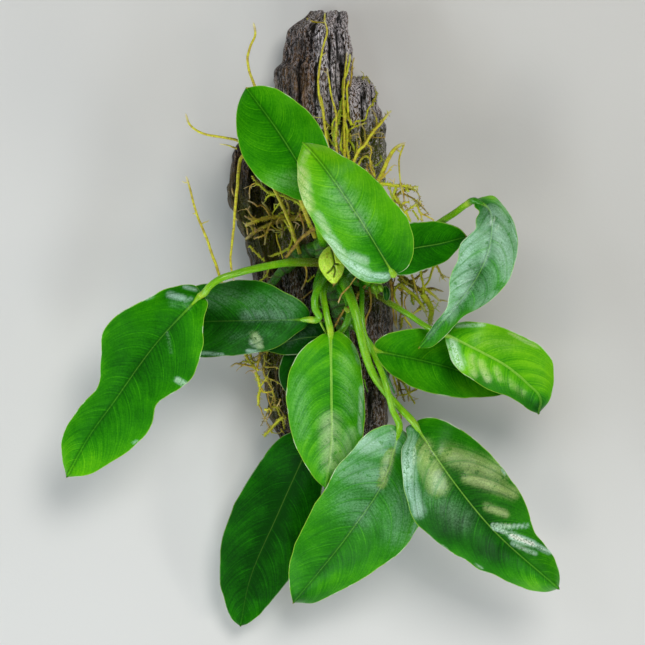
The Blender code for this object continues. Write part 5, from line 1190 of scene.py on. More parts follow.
def bud_finish():
    """The young folded leaf: yellow-green, with painted shade in its creases, brown at the tip."""
    f = Finish("anubias_young_leaf", {"Specular IOR Level": 0.5})
    streaks = f.noise(1.0, f.stretched(2.0, 0.5, 2.0), 3.0, 0.6)
    specks = f.noise(1.6, None, 3.0, 0.6)
    colour = f.ramp(
        f.sway(f.fade(streaks, 0.15, 0.85, 0.15, 0.85), specks, 0.1),
        (0.0, (0.34, 0.68, 0.01)), (1.0, (0.9, 1.0, 0.12)), (0.5, (0.56, 0.88, 0.03)))
    colour = f.mix(f.fade(f.noise(0.9, None, 3.0, 0.6), 0.57, 0.66, 0.0, 0.6), colour, (0.36, 0.26, 0.02))
    # Painted shade in the creases
    colour = f.mix(f.value("crease"), colour, (0.03, 0.05, 0.004))
    colour = f.mix(f.value("tip"), colour, (0.3, 0.15, 0.03))
    return f.done(colour, f.fade(specks, 0.3, 0.7, 0.25, 0.4), f.bumps((streaks, 0.25), (specks, 0.1)))


def floor_finish():
    """A plain pale matt surface with a faint unevenness."""
    f = Finish("pale_floor", {"Specular IOR Level": 0.2})
    clouds = f.noise(0.004, None, 2.0, 0.5)
    grains = f.noise(0.9, None, 2.0, 0.6)
    colour = f.mix(f.fade(clouds, 0.3, 0.7), (0.7, 0.69, 0.67), (0.74, 0.73, 0.715))
    return f.done(colour, 0.85, f.bumps((grains, 0.03)))


def rib_heights(blade, t):
    """The height of the blade's rib at t."""
    return curve(list(enumerate(blade["heights"])), t)[..., 1]


def blade_places(blade, t, v):
    """Real places of the blade's middle surface: rows at t, columns at v from right to left."""
    rib = curve(blade["rib"], t)[:, None]
    sides = {side: curve([blade["rib"][0], *blade[side], blade["rib"][-1]], t)[:, None]
             for side in ("left", "right")}
    to_left = (v > 0)[None, :, None]
    share = np.abs(v)[None, :, None]
    outline = rib * (1 - share) + np.where(to_left, sides["left"], sides["right"]) * share
    size, count, start = blade["wave"]
    turn = 2 * np.pi * (count * t[:, None] + start + LEFT_WAVE_LEAD * (v > 0)[None])
    lift = np.where(v > 0, *blade["lift"])[None]
    z = rib_heights(blade, t)[:, None] + lift * np.abs(v)[None] ** LIFT_POWER
    z = z + size * np.sin(turn) * np.abs(v)[None] ** WAVE_POWER * np.sin(np.pi * t[:, None]) ** 0.5
    return spot(np.concatenate((outline, z[..., None]), -1))


def nearness(places, line, reach):
    """1 on the line between two places, fading away about a reach from it."""
    start, end = np.array(line[:2]), np.array(line[2:])
    run = end - start
    share = np.clip((places - start) @ run / (run @ run), 0, 1)
    away = np.linalg.norm(places - start - share[..., None] * run, axis=-1)
    return bell(away, reach)


def blade_marks(name, blade, t, edge, places):
    """How yellow-green a blade is at its points, how strong its painted sheen and glossy coat are,
    and how warm the sheen is.
    """
    base, middle, tip, margin = blade["fresh"]
    late = 0.7 * middle + 0.3 * tip
    fresh = np.interp(t, (0, 0.4, 0.8, 1), (base, middle, late, tip))
    fresh = fresh[:, None] + margin * np.exp(-edge / FRESH_MARGIN_WIDTH)
    for *line, reach, amount in TINTS.get(name, ()):
        fresh = fresh + amount * nearness(places, line, reach)
    bloom, warm = np.zeros(edge.shape), np.zeros(edge.shape)
    for *line, reach, strength, warmth in SHEEN.get(name, ()):
        painted_sheen = strength * nearness(places, line, reach)
        warm = np.where(painted_sheen > bloom, warmth, warm)
        bloom = np.maximum(bloom, painted_sheen)
    return fresh, bloom, warm


def blade_faces(rows, columns):
    """Faces of a thin blade: its top, its underside, its two rims, and a fan at its base and its tip."""
    count = rows * columns
    index = np.arange(count).reshape(rows, columns)
    faces = [grid_faces(rows, columns, flip=True), grid_faces(rows, columns) + count]
    for rim, flip in ((index[:, 0], False), (index[:, -1], True)):
        quads = np.stack((rim[:-1], rim[1:], rim[1:] + count, rim[:-1] + count), -1)
        faces.append(quads[:, ::-1] if flip else quads)
    for row, point, flip in ((index[0], 2 * count, False), (index[-1], 2 * count + 1, True)):
        loop = np.concatenate((row, row[::-1] + count, row[:1]))
        fan = np.stack((loop[:-1], loop[1:], np.full(len(loop) - 1, point)), -1)
        faces.append(fan[:, ::-1] if flip else fan)
    return faces


def leaf(name, blade, finish, seed):
    """A blade with a grooved midrib, quilted side veins, a keel below and a thin margin."""
    length = length_of(blade["rib"])
    small = min(length / FULL_LENGTH, 1)
    rows = max(round(length / LEAF_ROW), 24)
    t = 0.5 - 0.5 * np.cos(np.pi * (np.arange(1, rows) / rows) ** 0.95)
    v = np.concatenate((-LEAF_COLUMNS[::-1], (0,), LEAF_COLUMNS))
    centre = len(LEAF_COLUMNS)
    middle = blade_places(blade, t, v)

    # Distances from the midrib and from the margin, along the surface
    steps = np.linalg.norm(np.diff(middle, axis=1), axis=2)
    across = np.concatenate((np.zeros((len(t), 1)), np.cumsum(steps, axis=1)), axis=1)
    across -= across[:, centre][:, None]
    rib = np.abs(across)
    half = np.where(v[None] > 0, across[:, -1:], -across[:, :1])
    edge = np.maximum(half - rib, 0)
    place = t[:, None] * length
    left = (v > 0)[None]

    # Side veins: the phase is a whole number at each, and grows towards the tip
    spacing = VEIN_SPACING * min(1, (length / FULL_LENGTH) ** 0.5)
    outward = rib / np.maximum(half, 1e-3)
    sweep = rib * (VEIN_LEAN + VEIN_SWEEP * outward**VEIN_CURVE)
    wobble = VEIN_WOBBLE * noise(place / 15 + seed, rib / 16, left * 3.3)
    phase = (place - sweep + LEFT_VEIN_SHIFT * spacing * left + wobble) / spacing
    panel = np.floor(phase)
    strength = 0.75 + 0.45 * noise(panel * 1.7 + seed, left * 2.2)
    quilt = strength * (np.sin(np.pi * (phase - panel) ** 1.35) ** 0.9 - 0.5)
    fine = 0.12 * noise(phase * 3.1 + seed, rib / 9, left * 1.1)

    # The surface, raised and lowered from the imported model's
    normal = unit(np.cross(np.gradient(middle, axis=1), np.gradient(middle, axis=0)))
    normal *= np.sign(normal[..., 2:])
    inner = np.clip(edge / 4.5, 0, 1) * np.clip(rib / 2.0, 0, 1)
    ends = np.clip(np.sin(np.pi * t) * 3.0, 0, 1)[:, None]
    uneven = LEAF_UNEVENNESS * noise(middle[..., 0] / 12 + seed, middle[..., 1] / 12)
    uneven += FINE_UNEVENNESS * noise(middle[..., 0] / 5 + seed, middle[..., 1] / 5)
    margin = bell(edge, MARGIN_WIDTH)
    ruffle = MARGIN_RUFFLE * margin * noise(place / 4.5 + 5 * seed, left * 3.3)
    groove = RIB_GROOVE_DEPTH * bell(rib, RIB_GROOVE_WIDTH) * (1 - 0.6 * t[:, None])
    lift = (QUILT_DEPTH * (quilt + fine) * inner + uneven * 0.6) * ends + ruffle - groove
    surface = middle + normal * lift[..., None]
    outwards = unit(middle - middle[:, centre][:, None])
    wobble = MARGIN_WOBBLE * noise(place / 4 + 3 * seed, left * 5.1) * margin * ends
    surface = surface + outwards * wobble[..., None]

    # Its thickness, with the keel below the midrib, and its base and tip
    thick = MARGIN_THICKNESS + (BLADE_THICKNESS - MARGIN_THICKNESS) * np.clip(edge / 4, 0, 1)
    keel = RIB_KEEL_DEPTH * small * bell(rib, RIB_KEEL_WIDTH) * (1 - 0.85 * t[:, None]) + groove
    top = surface + normal * (thick / 2)[..., None]
    low = surface - normal * (thick / 2 + keel)[..., None]
    base, tip = blade_places(blade, np.array([0.0, 1.0]), np.array([0.0]))[:, 0]
    tip = tip + unit(tip - middle[-1, centre]) * TIP_LENGTH * small

    fresh, bloom, warm = blade_marks(name, blade, t, edge, as_seen(middle))
    pale = np.broadcast_to(blade["pale"], rib.shape)
    along = np.broadcast_to(t[:, None], rib.shape)

    def both(values, at_base, at_tip):
        return np.concatenate((values.ravel(), values.ravel(), (at_base, at_tip)))

    made = Gather()
    made.add(
        np.vstack((top.reshape(-1, 3), low.reshape(-1, 3), base, tip)), blade_faces(*rib.shape),
        phase=both(phase, 0, phase[-1, centre]), rib=both(rib, 0, 0), edge=both(edge, 2, 0),
        fresh=both(fresh, blade["fresh"][0], blade["fresh"][2]), pale=both(pale, 1, 0.2),
        along=both(along, 0, 1), bloom=both(bloom, 0, 0), warm=both(warm, 0, 0),
        under=np.concatenate((np.zeros(rib.size), np.ones(rib.size), (0, 0))))
    made.piece(name, blade["slot"], finish)


def frames(centres):
    """Two directions square to a line of centres, carried along it without twist."""
    ahead = unit(np.gradient(centres, axis=0))
    side = np.zeros_like(centres)
    start = np.array((0, 0, 1.0)) if abs(ahead[0][2]) < 0.9 else np.array((1.0, 0, 0))
    for k, direction in enumerate(ahead):
        start = start - direction * start.dot(direction)
        start = start / np.linalg.norm(start)
        side[k] = start
    return side, np.cross(ahead, side)


def tube(centres, radii, sides):
    """Points and faces of a closed tube round a line of centres; radii are for each ring or each point."""
    side, other = frames(centres)
    turn = turns_round(sides)[None, :, None]
    radii = radii if np.ndim(radii) == 2 else np.asarray(radii)[:, None]
    out = side[:, None] * np.cos(turn) + other[:, None] * np.sin(turn)
    rings = centres[:, None] + out * np.broadcast_to(radii, (len(centres), sides))[..., None]
    count = len(centres) * sides
    first, last = np.arange(sides), count - sides + np.arange(sides)
    caps = [
        np.stack((np.roll(first, -1), first, np.full(sides, count)), -1),
        np.stack((last, np.roll(last, -1), np.full(sides, count + 1)), -1),
    ]
    points = np.vstack((rings.reshape(-1, 3), centres[:1], centres[-1:]))
    return points, [grid_faces(len(centres), sides, closed=True, flip=True), *caps]


def spread(values, sides):
    """Values for each ring of a tube, given to each of its points and its two end points."""
    values = np.asarray(values, float)
    return np.concatenate((np.repeat(values, sides), values[:1], values[-1:]))


def petiole(name, plan, finish, seed):
    """A stalk that swells at its foot and at the joint, and runs on under the blade's midrib."""
    route = spot(plan["route"])
    foot = route[0] - unit(route[1] - route[0]) * FOOT_DEPTH
    ends = [foot, *route]
    blade = BLADES.get(name)
    if blade:
        under = blade_places(blade, UNDER_BLADE, np.array([0.0]))[:, 0]
        ends += [place - (0, 0, depth) for place, depth in zip(under, UNDER_BLADE_DEPTHS)]
    whole = length_of(ends)
    centres = evenly(ends, STALK_STEP)
    here = np.linspace(0, whole, len(centres))
    joint = whole - (length_of([route[-1], *ends[len(route) + 1:]]) if blade else 0)
    radius = np.interp(here, (0, joint), plan["radii"])
    radius = radius * (1 + FOOT_SWELL * bell(here, 3.2) + SHEATH_SWELL * bell(here - 9, 7))
    radius = radius * (1 + JOINT_SWELL * bell(here - joint + 2.6, 1.9))
    if blade:
        radius = radius * np.interp(here, (joint, whole), (1, 0.35))
    turn = turns_round(STALK_SIDES)
    ribs = 1 + 0.018 * np.cos(6 * turn)[None] + 0.02 * noise(here[:, None] / 2.4 + seed, turn[None] * 1.5)
    points, faces = tube(centres, radius[:, None] * ribs, STALK_SIDES)

    along = here / joint
    blush = np.clip(1 - along / max(plan["blush"], 0.01), 0, 1) * (plan["blush"] > 0)
    ring = joint - plan.get("early", 0.8)
    pale = plan.get("joint", 0.6) * bell(here - ring, 1.5)
    fresh = np.interp(along, (0, 0.25, 0.8, 1.2), (0.4, 0.74, 0.84, 0.92))
    fresh = np.where(here > ring, plan.get("after", fresh), fresh)
    if blade and blade["slot"] == "leaf_dark":
        fresh = fresh - DARK_STALK
    around = np.concatenate((np.tile(np.abs(turn - np.pi), len(centres)), (0, 0)))
    made = Gather()
    made.add(
        points, faces, along=spread(along, STALK_SIDES) * joint / 10, blush=spread(blush, STALK_SIDES),
        pale=spread(pale, STALK_SIDES), fresh=spread(fresh, STALK_SIDES), seed=float(seed), around=around)
    made.piece("petiole_of_" + name, "petiole", finish)


def sprouts(finish):
    """The small scales and sprouts, as one piece."""
    made = Gather()
    for n, ((start, end, green, pale), route) in enumerate(SPROUTS):
        centres = evenly(spot(route), 0.3)
        share = np.linspace(0, 1, len(centres))
        whole = length_of(centres)
        round_end = np.sqrt(np.clip(np.minimum(share, 1 - share) * whole / (0.8 * start), 0.05, 1))
        radius = np.interp(share, (0, 1), (start, end)) * round_end
        points, faces = tube(centres, radius * (1 + 0.08 * noise(share * whole / 0.8 + 4 * n)), SPROUT_SIDES)
        made.add(
            points, faces, along=spread(share * 2, SPROUT_SIDES), blush=0.0, pale=float(pale),
            fresh=float(green), seed=float(n), around=0.5)
    made.piece(None, "petiole", finish, "sprouts")


def rhizome(name, plan, finish, seed):
    """A knobbly stem with a ring at each old leaf and a rounded growing end."""
    route = spot(plan["route"])
    centres = evenly(route, 0.45)
    here = np.linspace(0, length_of(route), len(centres))
    whole = here[-1]
    girths = plan.get("girths", RHIZOME_GIRTHS)
    radius = plan["radius"] * np.interp(here / whole, (0, 0.45, 0.6, 1), girths)
    ends = np.minimum(here, whole - here) / plan["radius"]
    dome = np.sqrt(np.clip(1 - (1 - np.clip(ends, 0.02, 1)) ** 2, 0, 1))
    turn = turns_round(RHIZOME_SIDES)[None]
    count = np.floor(here / SCAR_SPACING + 0.35 * noise(here / 6 + seed))[:, None]
    slant = 0.22 * np.cos(turn + 2.4 * count)
    rings = bell((here[:, None] / SCAR_SPACING + slant) % 1 - 0.5, SCAR_WIDTH)
    knobs = noise(here[:, None] / 3 + seed, np.cos(turn) * 1.6, np.sin(turn) * 1.6)
    grains = noise(here[:, None], np.cos(turn) * 4, np.sin(turn) * 4)
    shape = 1 - SCAR_DEPTH * rings + KNOB_HEIGHT * knobs + GRAIN_HEIGHT * grains
    points, faces = tube(centres, (radius * dome)[:, None] * shape, RHIZOME_SIDES)
    bud = np.clip((here - whole + 6) / 5, 0, 1) * plan["bud"]
    made = Gather()
    made.add(points, faces, scar=np.concatenate((rings.ravel(), (0, 0))), bud=spread(bud, RHIZOME_SIDES))
    made.piece(name, "rhizome", finish)


def section_place(angle, half, crown):
    """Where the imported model's section is at an angle round it: x from its middle, and the height."""
    c, s = np.cos(angle), np.sin(angle)
    flank = crown * FLANK_HEIGHT_SHARE
    x = half * np.copysign(np.abs(c) ** SIDE_SQUARENESS, c)
    over = flank + (crown - flank) * np.maximum(s, 0) ** CROWN_SQUARENESS
    return x, np.where(s > 0, over, flank * (1 + s / math.sin(UNDERCUT_ANGLE)))


def section_columns(half, crown):
    """The angles of columns that are evenly spaced round a section, and how far round it they are."""
    turn = np.linspace(math.pi + UNDERCUT_ANGLE, -UNDERCUT_ANGLE, SECTION_SAMPLES)
    x, z = section_place(turn, half, crown)
    around = np.concatenate(([0], np.cumsum(np.hypot(np.diff(x), np.diff(z)))))
    u = np.linspace(0, around[-1], round(around[-1] / WOOD_COLUMN))
    return np.interp(u, around, turn)[None], u[None]


def packed_ridges(angle, y):
    """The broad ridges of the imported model, which run smoothly from point to point of its section."""
    station = (math.pi + UNDERCUT_ANGLE - angle) / (math.pi + 2 * UNDERCUT_ANGLE) * (SECTION_POINTS - 1)
    low = np.clip(np.floor(station), 0, SECTION_POINTS - 2)
    blend = station - low
    blend = blend * blend * (3 - 2 * blend)

    def ridge(n):
        return sum(size * np.sin(turn * n + drift * y + start) for size, turn, drift, start in RIDGES)

    return ridge(low) * (1 - blend) + ridge(low + 1) * blend


def wood_relief(name, x, y, u, upward, seed):
    """How far fibres, beads, flakes and clefts raise or lower the wood, and how light they are: partly their
    own tone, partly painted light on what stands out and painted shade in the clefts.
    """
    broad = noise(u / 4.2 + seed, y / 70)
    coarse = ridged(u / 3.0 + seed, y / 45)
    low_part = np.clip((30 - y) / 20, 0, 1)
    fibre = ridged(u / 1.35 + 9 * seed, y / 20) * (1 - low_part)
    fibre = fibre + ridged(u / 1.15 + 5 * seed, y / 55) * low_part
    beads = noise(u / 1.0 + 3 * seed, y / 1.5)
    flakes = np.clip(noise(u / 1.9 + 5 * seed, y / 7) - 0.3, 0, 1)
    near_end = np.exp(-np.minimum(y[0] - y, y - y[-1]) / 8)
    knobs = near_end * noise(u / 2.4 + 7 * seed, y / 2.8)
    relief = SWELL * broad + FURROW * coarse + (FIBRE + 0.14 * low_part) * fibre
    relief = relief + BEAD * beads * (0.6 + 0.4 * fibre) * (1 - 0.5 * low_part) - SUNK
    relief = relief + FLAKE * flakes + KNOB * knobs
    shade = SWELL_LIGHT * broad + FURROW_LIGHT * coarse + (FIBRE_LIGHT + 0.3 * low_part) * fibre
    shade = shade + BEAD_LIGHT * beads * (1 - 0.5 * low_part) + FLAKE_LIGHT * flakes
    shade = shade + 0.16 * low_part
    for x0, y0, x1, y1, depth, width in CLEFTS[name]:
        share = np.clip((y0 - y) / (y0 - y1), 0, 1)
        line = x0 + (x1 - x0) * share + 0.8 * noise(y / 7 + x0)
        open_part = np.sin(np.pi * share) ** 0.4 * (upward > 0.2)
        cleft = bell(x - line, width * 0.7) * open_part
        relief = relief - depth * cleft
        shade = shade - CLEFT_SHADE * cleft
    return relief, shade


def pushed_out(x, z, relief):
    """The wood's section moved outward by its relief, which fades out close to the underside."""
    out = np.stack((np.gradient(z, axis=1), -np.gradient(x, axis=1)), -1)
    out = -out / np.maximum(np.linalg.norm(out, axis=-1, keepdims=True), 1e-9)
    free = np.clip(z / 2.5, 0, 1)
    return x + out[..., 0] * relief * free, np.maximum(z + out[..., 1] * relief * free, 0)


def broken_end(ring, outward, seed):
    """Rings that run from a limb's end inward to the rough and slightly sunken middle of its break."""
    centre = ring.mean(0)
    stages = []
    for k in range(1, END_RINGS + 1):
        share = k / (END_RINGS + 0.35)
        stage = ring + (centre - ring) * share
        rough = 1.6 * noise(stage[:, 0] / 1.3 + seed, stage[:, 2] / 1.3)
        rough = rough + 0.8 * noise(stage[:, 0] / 0.6 + seed, stage[:, 2] / 0.6)
        stage[:, 1] += outward * (rough * min(share * 3, 1) - 1.6 * min(share * 2, 1))
        stages.append(stage)
    return np.stack(stages)


def raised_near(places, amount, values, x, y):
    """Values raised by an amount at each of the places, which are (x, y) and how far it reaches."""
    for place_x, place_y, reach in places:
        values = values + amount * bell(np.hypot(x - place_x, y - place_y), reach)
    return values


def limb(name, stations, finish, seed):
    """A length of driftwood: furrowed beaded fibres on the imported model's section, with broken ends."""
    length = stations[0][0] - stations[-1][0]
    rows = round(length / WOOD_ROW)
    y, left, right, crown = [column[:, None] for column in curve(stations, np.linspace(0, 1, rows + 1)).T]
    half = (right - left) / 2
    angle, u = section_columns(half.mean(), crown.mean())
    c, s = np.cos(angle), np.sin(angle)

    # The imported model's form, then the relief
    ridges = packed_ridges(angle, y)
    x, z = section_place(angle, half + SIDE_RIDGE_SHARE * ridges * np.abs(c), crown)
    x = x + (left + right) / 2
    z = z + ridges * np.clip(s, 0, 1)
    u = u + 1.3 * noise(u / 8 + seed, y / 24) + 0.5 * noise(u / 3 + seed, y / 9)
    relief, shade = wood_relief(name, x, y, u, s, seed)
    relief = relief + RAGGEDNESS[name] * np.abs(c) ** 2 * noise(y / 2.6 + seed, angle * 1.5)
    x, z = pushed_out(x, z, relief)
    fray = 1.3 * np.abs(noise(u / 1.3 + 3 * seed, 0.5)) + 0.9 * np.abs(noise(u / 4 + seed, 2.5))
    near_top = np.clip(1 - (y[0] - y) / 6, 0, 1)
    near_low = np.clip(1 - (y - y[-1]) / 6, 0, 1)
    y = y - near_top * fray * np.clip(s, 0, 1) + near_low * fray * np.clip(s, 0, 1)

    # The underside and the ends
    under = np.linspace(0, 1, UNDERSIDE_COLUMNS + 2)[1:-1][None]
    floor_x = x[:, -1:] + (x[:, :1] - x[:, -1:]) * under
    floor_y = np.broadcast_to(y[:, :1], floor_x.shape)
    floor_z = 0.35 * np.abs(noise(floor_x / 2, floor_y / 9)) * np.sin(np.pi * under)
    rings = np.stack((np.hstack((x, floor_x)), np.hstack((y, floor_y)), np.hstack((z, floor_z))), -1)
    ends = [broken_end(rings[0], 1.0, seed)[::-1], broken_end(rings[-1], -1.0, seed)]
    rings = np.concatenate((ends[0], rings, ends[1]))
    n, m = rings.shape[:2]
    end_shade = -0.1 + 0.6 * noise(np.arange(END_RINGS)[:, None] / 1.5, np.arange(m)[None] / 2.0)
    # The underside is darkened with painted shade
    shade = np.hstack((shade, np.full(floor_x.shape, -0.5)))
    shade = np.vstack((end_shade, shade, end_shade))
    points = np.vstack((rings.reshape(-1, 3), rings[0].mean(0), rings[-1].mean(0)))

    # Where moss grows, and where the wood has pale flecks: partly pale broken wood, partly painted
    # highlights
    x, y = points[:, 0], points[:, 1]
    moss = np.clip(1.4 * noise(x / 9 + seed, y / 14) + 0.15, 0, 1)
    moss = 0.5 * moss * np.clip((90 - y) / 30, 0, 1) * np.clip((y + 30) / 40, 0.2, 1)
    moss = raised_near(MOSSY_PLACES, 1.1, moss, x, y)
    worn = 0.3 + 0.25 * noise(x / 5 + seed, y / 22)
    worn = worn + 1.1 * np.clip((x + 7) / 9, 0, 1) * np.clip((y - 35) / 25, 0, 1)
    worn = worn + 0.1 * np.clip((25 - y) / 15, 0, 1)
    worn = raised_near(PALE_PLACES, 0.9, worn, x, y)
    worn = worn * (LEFT_LIMB_WEAR_AND_HIGHLIGHTS if name == "driftwood_left_limb" else 1.0)

    made = Gather()
    made.add(
        points, closed_faces(n, m), grain=np.concatenate((shade.ravel(), (-0.5, -0.5))),
        moss=np.clip(moss, 0, 1), worn=np.clip(worn, 0, 1))
    return made.piece(name, "driftwood", finish)


def tree_of(pieces):
    """The pieces' surfaces as one tree that rays can be cast at, in millimetres."""
    points, faces = [], []
    for piece in pieces:
        first = len(points)
        points += [v.co / METRE for v in piece.data.vertices]
        faces += [[v + first for v in p.vertices] for p in piece.data.polygons]
    return BVHTree.FromPolygons(points, faces)


class Ground:
    """The height of the wood below a place."""

    def __init__(self, pieces):
        self.tree = tree_of(pieces)

    def height(self, x, y):
        hit = self.tree.ray_cast(Vector((x, y, 100)), Vector((0, 0, -1)))[0]
        return hit.z if hit else 0.0

    def laid(self, route, radius):
        """Real places of a route noted as seen, lifted clear of the wood wherever it crosses it."""
        reach = radius + ROOT_CLEARANCE
        around = [(0, 0), (reach, 0), (-reach, 0), (0, reach), (0, -reach)]
        placed = spot(route)
        for place in placed:
            top = max(self.height(place[0] + dx, place[1] + dy) for dx, dy in around)
            place[2] = max(place[2], top + reach)
        return placed

    def draped(self, route, radius):
        """Real places of a fine strand noted as seen, each above its own spot of the wood."""
        route = np.array(route, float)
        for _ in range(2):
            tops = [self.height(x, y) for x, y, z in spot(route)]
            route[:, 2] = np.maximum(route[:, 2], np.array(tops) + radius)
        return spot(route)


def shaken(centres, bend, amount, rng):
    """A line of centres made uneven at random, with a bend about every so many points."""
    shake = [noise(np.arange(len(centres)) / bend + rng.uniform(0, 40)) for _ in range(3)]
    return centres + amount * np.stack(shake, -1)


def turned_off(ahead, least, most, rng):
    """A heading that turns off to either side of a direction, by an angle between two limits."""
    return math.atan2(ahead[1], ahead[0]) + rng.choice((-1, 1)) * rng.uniform(least, most)


def add_root(made, centres, radius, end_share, sides, rng, hue, tone, pale=1.0, wrinkle=0.1):
    """One root round its centres, slightly uneven, with a rounded tip that is paler if asked."""
    here = np.linspace(0, length_of(centres), len(centres))
    whole = here[-1]
    girth = radius * np.interp(here, (0, whole), (1, end_share))
    girth = girth * (1 + wrinkle * noise(here / 0.9 + rng.uniform(0, 40)))
    girth = girth * np.sqrt(np.clip((whole - here) / (1.2 * radius), 0.06, 1))
    points, faces = tube(centres, girth, sides)
    tip = np.clip(1 - (whole - here) / 4.5, 0, 1) * 0.3 * pale
    made.add(points, faces, hue=hue, tone=tone, tip=spread(tip, sides))


def add_stubs(made, centres, radius, per_mm, longest, rng, hue, tone):
    """Short blunt side roots and root hairs that stand out round a root, with four sides each."""
    count = int(length_of(centres) * per_mm)
    if not count:
        return
    at = rng.uniform(0, 1, count) * (len(centres) - 1)
    k = np.minimum(at.astype(int), len(centres) - 2)
    base = centres[k] + (centres[k + 1] - centres[k]) * (at - k)[:, None]
    side, other = frames(centres)
    turn = rng.uniform(0, 2 * np.pi, count)[:, None]
    ahead = unit(centres[k + 1] - centres[k])
    aim = unit(side[k] * np.cos(turn) + other[k] * np.sin(turn) + ahead * rng.uniform(-0.5, 0.8, (count, 1)))
    size = longest * rng.uniform(0.2, 1, (count, 1)) ** 1.5
    girth = np.minimum(0.12 + 0.12 * rng.random((count, 1)), radius * 0.7)
    square = unit(np.cross(aim, np.array((0.3, 0.2, 0.9))))
    third = np.cross(aim, square)
    corner = np.array([(1, 0), (0, 1), (-1, 0), (0, -1)], float)
    ring = square[:, None] * corner[None, :, :1] + third[:, None] * corner[None, :, 1:]
    bend = rng.normal(0, 0.18, (count, 3)) * size
    low = base[:, None] + ring * girth[:, None]
    high = (base + aim * (radius + size * 0.65) + bend * 0.4)[:, None] + ring * girth[:, None] * 0.72
    top = base + aim * (radius + size) + bend
    points = np.concatenate((low, high, top[:, None]), 1)
    each = points.shape[1]
    first = np.arange(count)[:, None, None] * each
    walls = np.array([(n, (n + 1) % 4, (n + 1) % 4 + 4, n + 4) for n in range(4)])
    ends = np.array([(n + 4, (n + 1) % 4 + 4, 8) for n in range(4)])
    faces = [(first + walls).reshape(-1, 4), (first + ends).reshape(-1, 3)]
    tones = np.repeat(np.clip(tone + rng.uniform(-0.2, 0.25, count), 0, 1), each)
    hues = np.repeat(np.clip(hue + rng.uniform(-0.2, 0.2, count), 0, 1), each)
    made.add(points, faces, hue=hues, tone=tones, tip=np.tile([0.0] * 8 + [0.1], count))


def wander(start, heading, length, step, bend, rise, ground, radius, rng):
    """A fine root's line of centres: it turns at random and stays on or above the wood."""
    points = [np.array(start, float)]
    climb = rise
    for _ in range(max(2, int(length / step))):
        heading += rng.normal(0, bend)
        climb = 0.7 * climb + rng.normal(0, 0.12) - 0.05
        place = points[-1] + step * np.array((math.cos(heading), math.sin(heading), climb))
        place[2] = max(place[2], ground.height(place[0], place[1]) + radius * 0.8)
        place[2] = min(place[2], points[-1][2] + step)
        points.append(place)
    return evenly(points, 0.5)


def long_root(name, plan, ground, finish, seed):
    """A long free root with a few short side roots."""
    rng = np.random.default_rng(seed)
    radius = plan["radius"]
    centres = evenly(ground.laid(evenly(plan["route"], LAID_STEP), radius), 0.45)
    wave = np.stack([noise(np.arange(len(centres)) / 7 + seed + 11 * axis) for axis in range(3)], -1)
    fade = np.sin(np.linspace(0, np.pi, len(centres)))[:, None] ** 0.5
    centres = centres + LONG_ROOT_WAVE * wave * fade
    hue, tone = LONG_ROOT_LOOK
    made = Gather()
    add_root(made, centres, radius, ROOT_TAPER, 12, rng, hue, tone, LONG_ROOT_PALENESS)
    if "side" in plan:
        width, route = plan["side"]
        branch = evenly(ground.laid(evenly(route, 1.0), width), 0.4)
        add_root(made, branch, width, 0.6, 9, rng, hue, tone, LONG_ROOT_PALENESS)
    for _ in range(max(1, int(length_of(centres) / 28))):
        k = rng.integers(4, len(centres) - 6)
        heading = turned_off(centres[k + 1] - centres[k], 0.5, 1.2, rng)
        twig = wander(centres[k], heading, rng.uniform(1.5, 4), 0.6, 0.25, 0.1, ground, 0.25, rng)
        add_root(made, twig, radius * 0.45, 0.6, 7, rng, hue, tone)
    made.piece(name, "root", finish)


def strands(made, name, ground, rng):
    """The finer strands noted for a mass, with their stubs, and their lines of centres."""
    lines = []
    for (start_z, end_z, radius, hue, tone, moss, pale), seen in STRANDS[name]:
        radius = radius * STRAND_SWELL
        tone = tone + BRIGHTER.get(name, 0)
        route = np.column_stack((seen, np.linspace(start_z, end_z, len(seen))))
        centres = evenly(ground.draped(evenly(route, 1.0), radius), 0.5)
        centres = shaken(centres, 3.0, 0.12, rng)
        add_root(made, centres, radius, 0.75, 9, rng, hue, tone, pale, STRAND_WRINKLE)
        add_stubs(made, centres, radius * 0.85, MOSS_DENSITY * moss, 0.55 + radius * 0.9, rng, hue, tone)
        lines.append((centres, hue, tone))
    return lines


def centre_roots(ground, finish):
    """Thin brown roots among the stalks over the rhizome."""
    made = Gather()
    strands(made, "roots_centre", ground, np.random.default_rng(300))
    made.piece(None, "root", finish, "roots_centre")


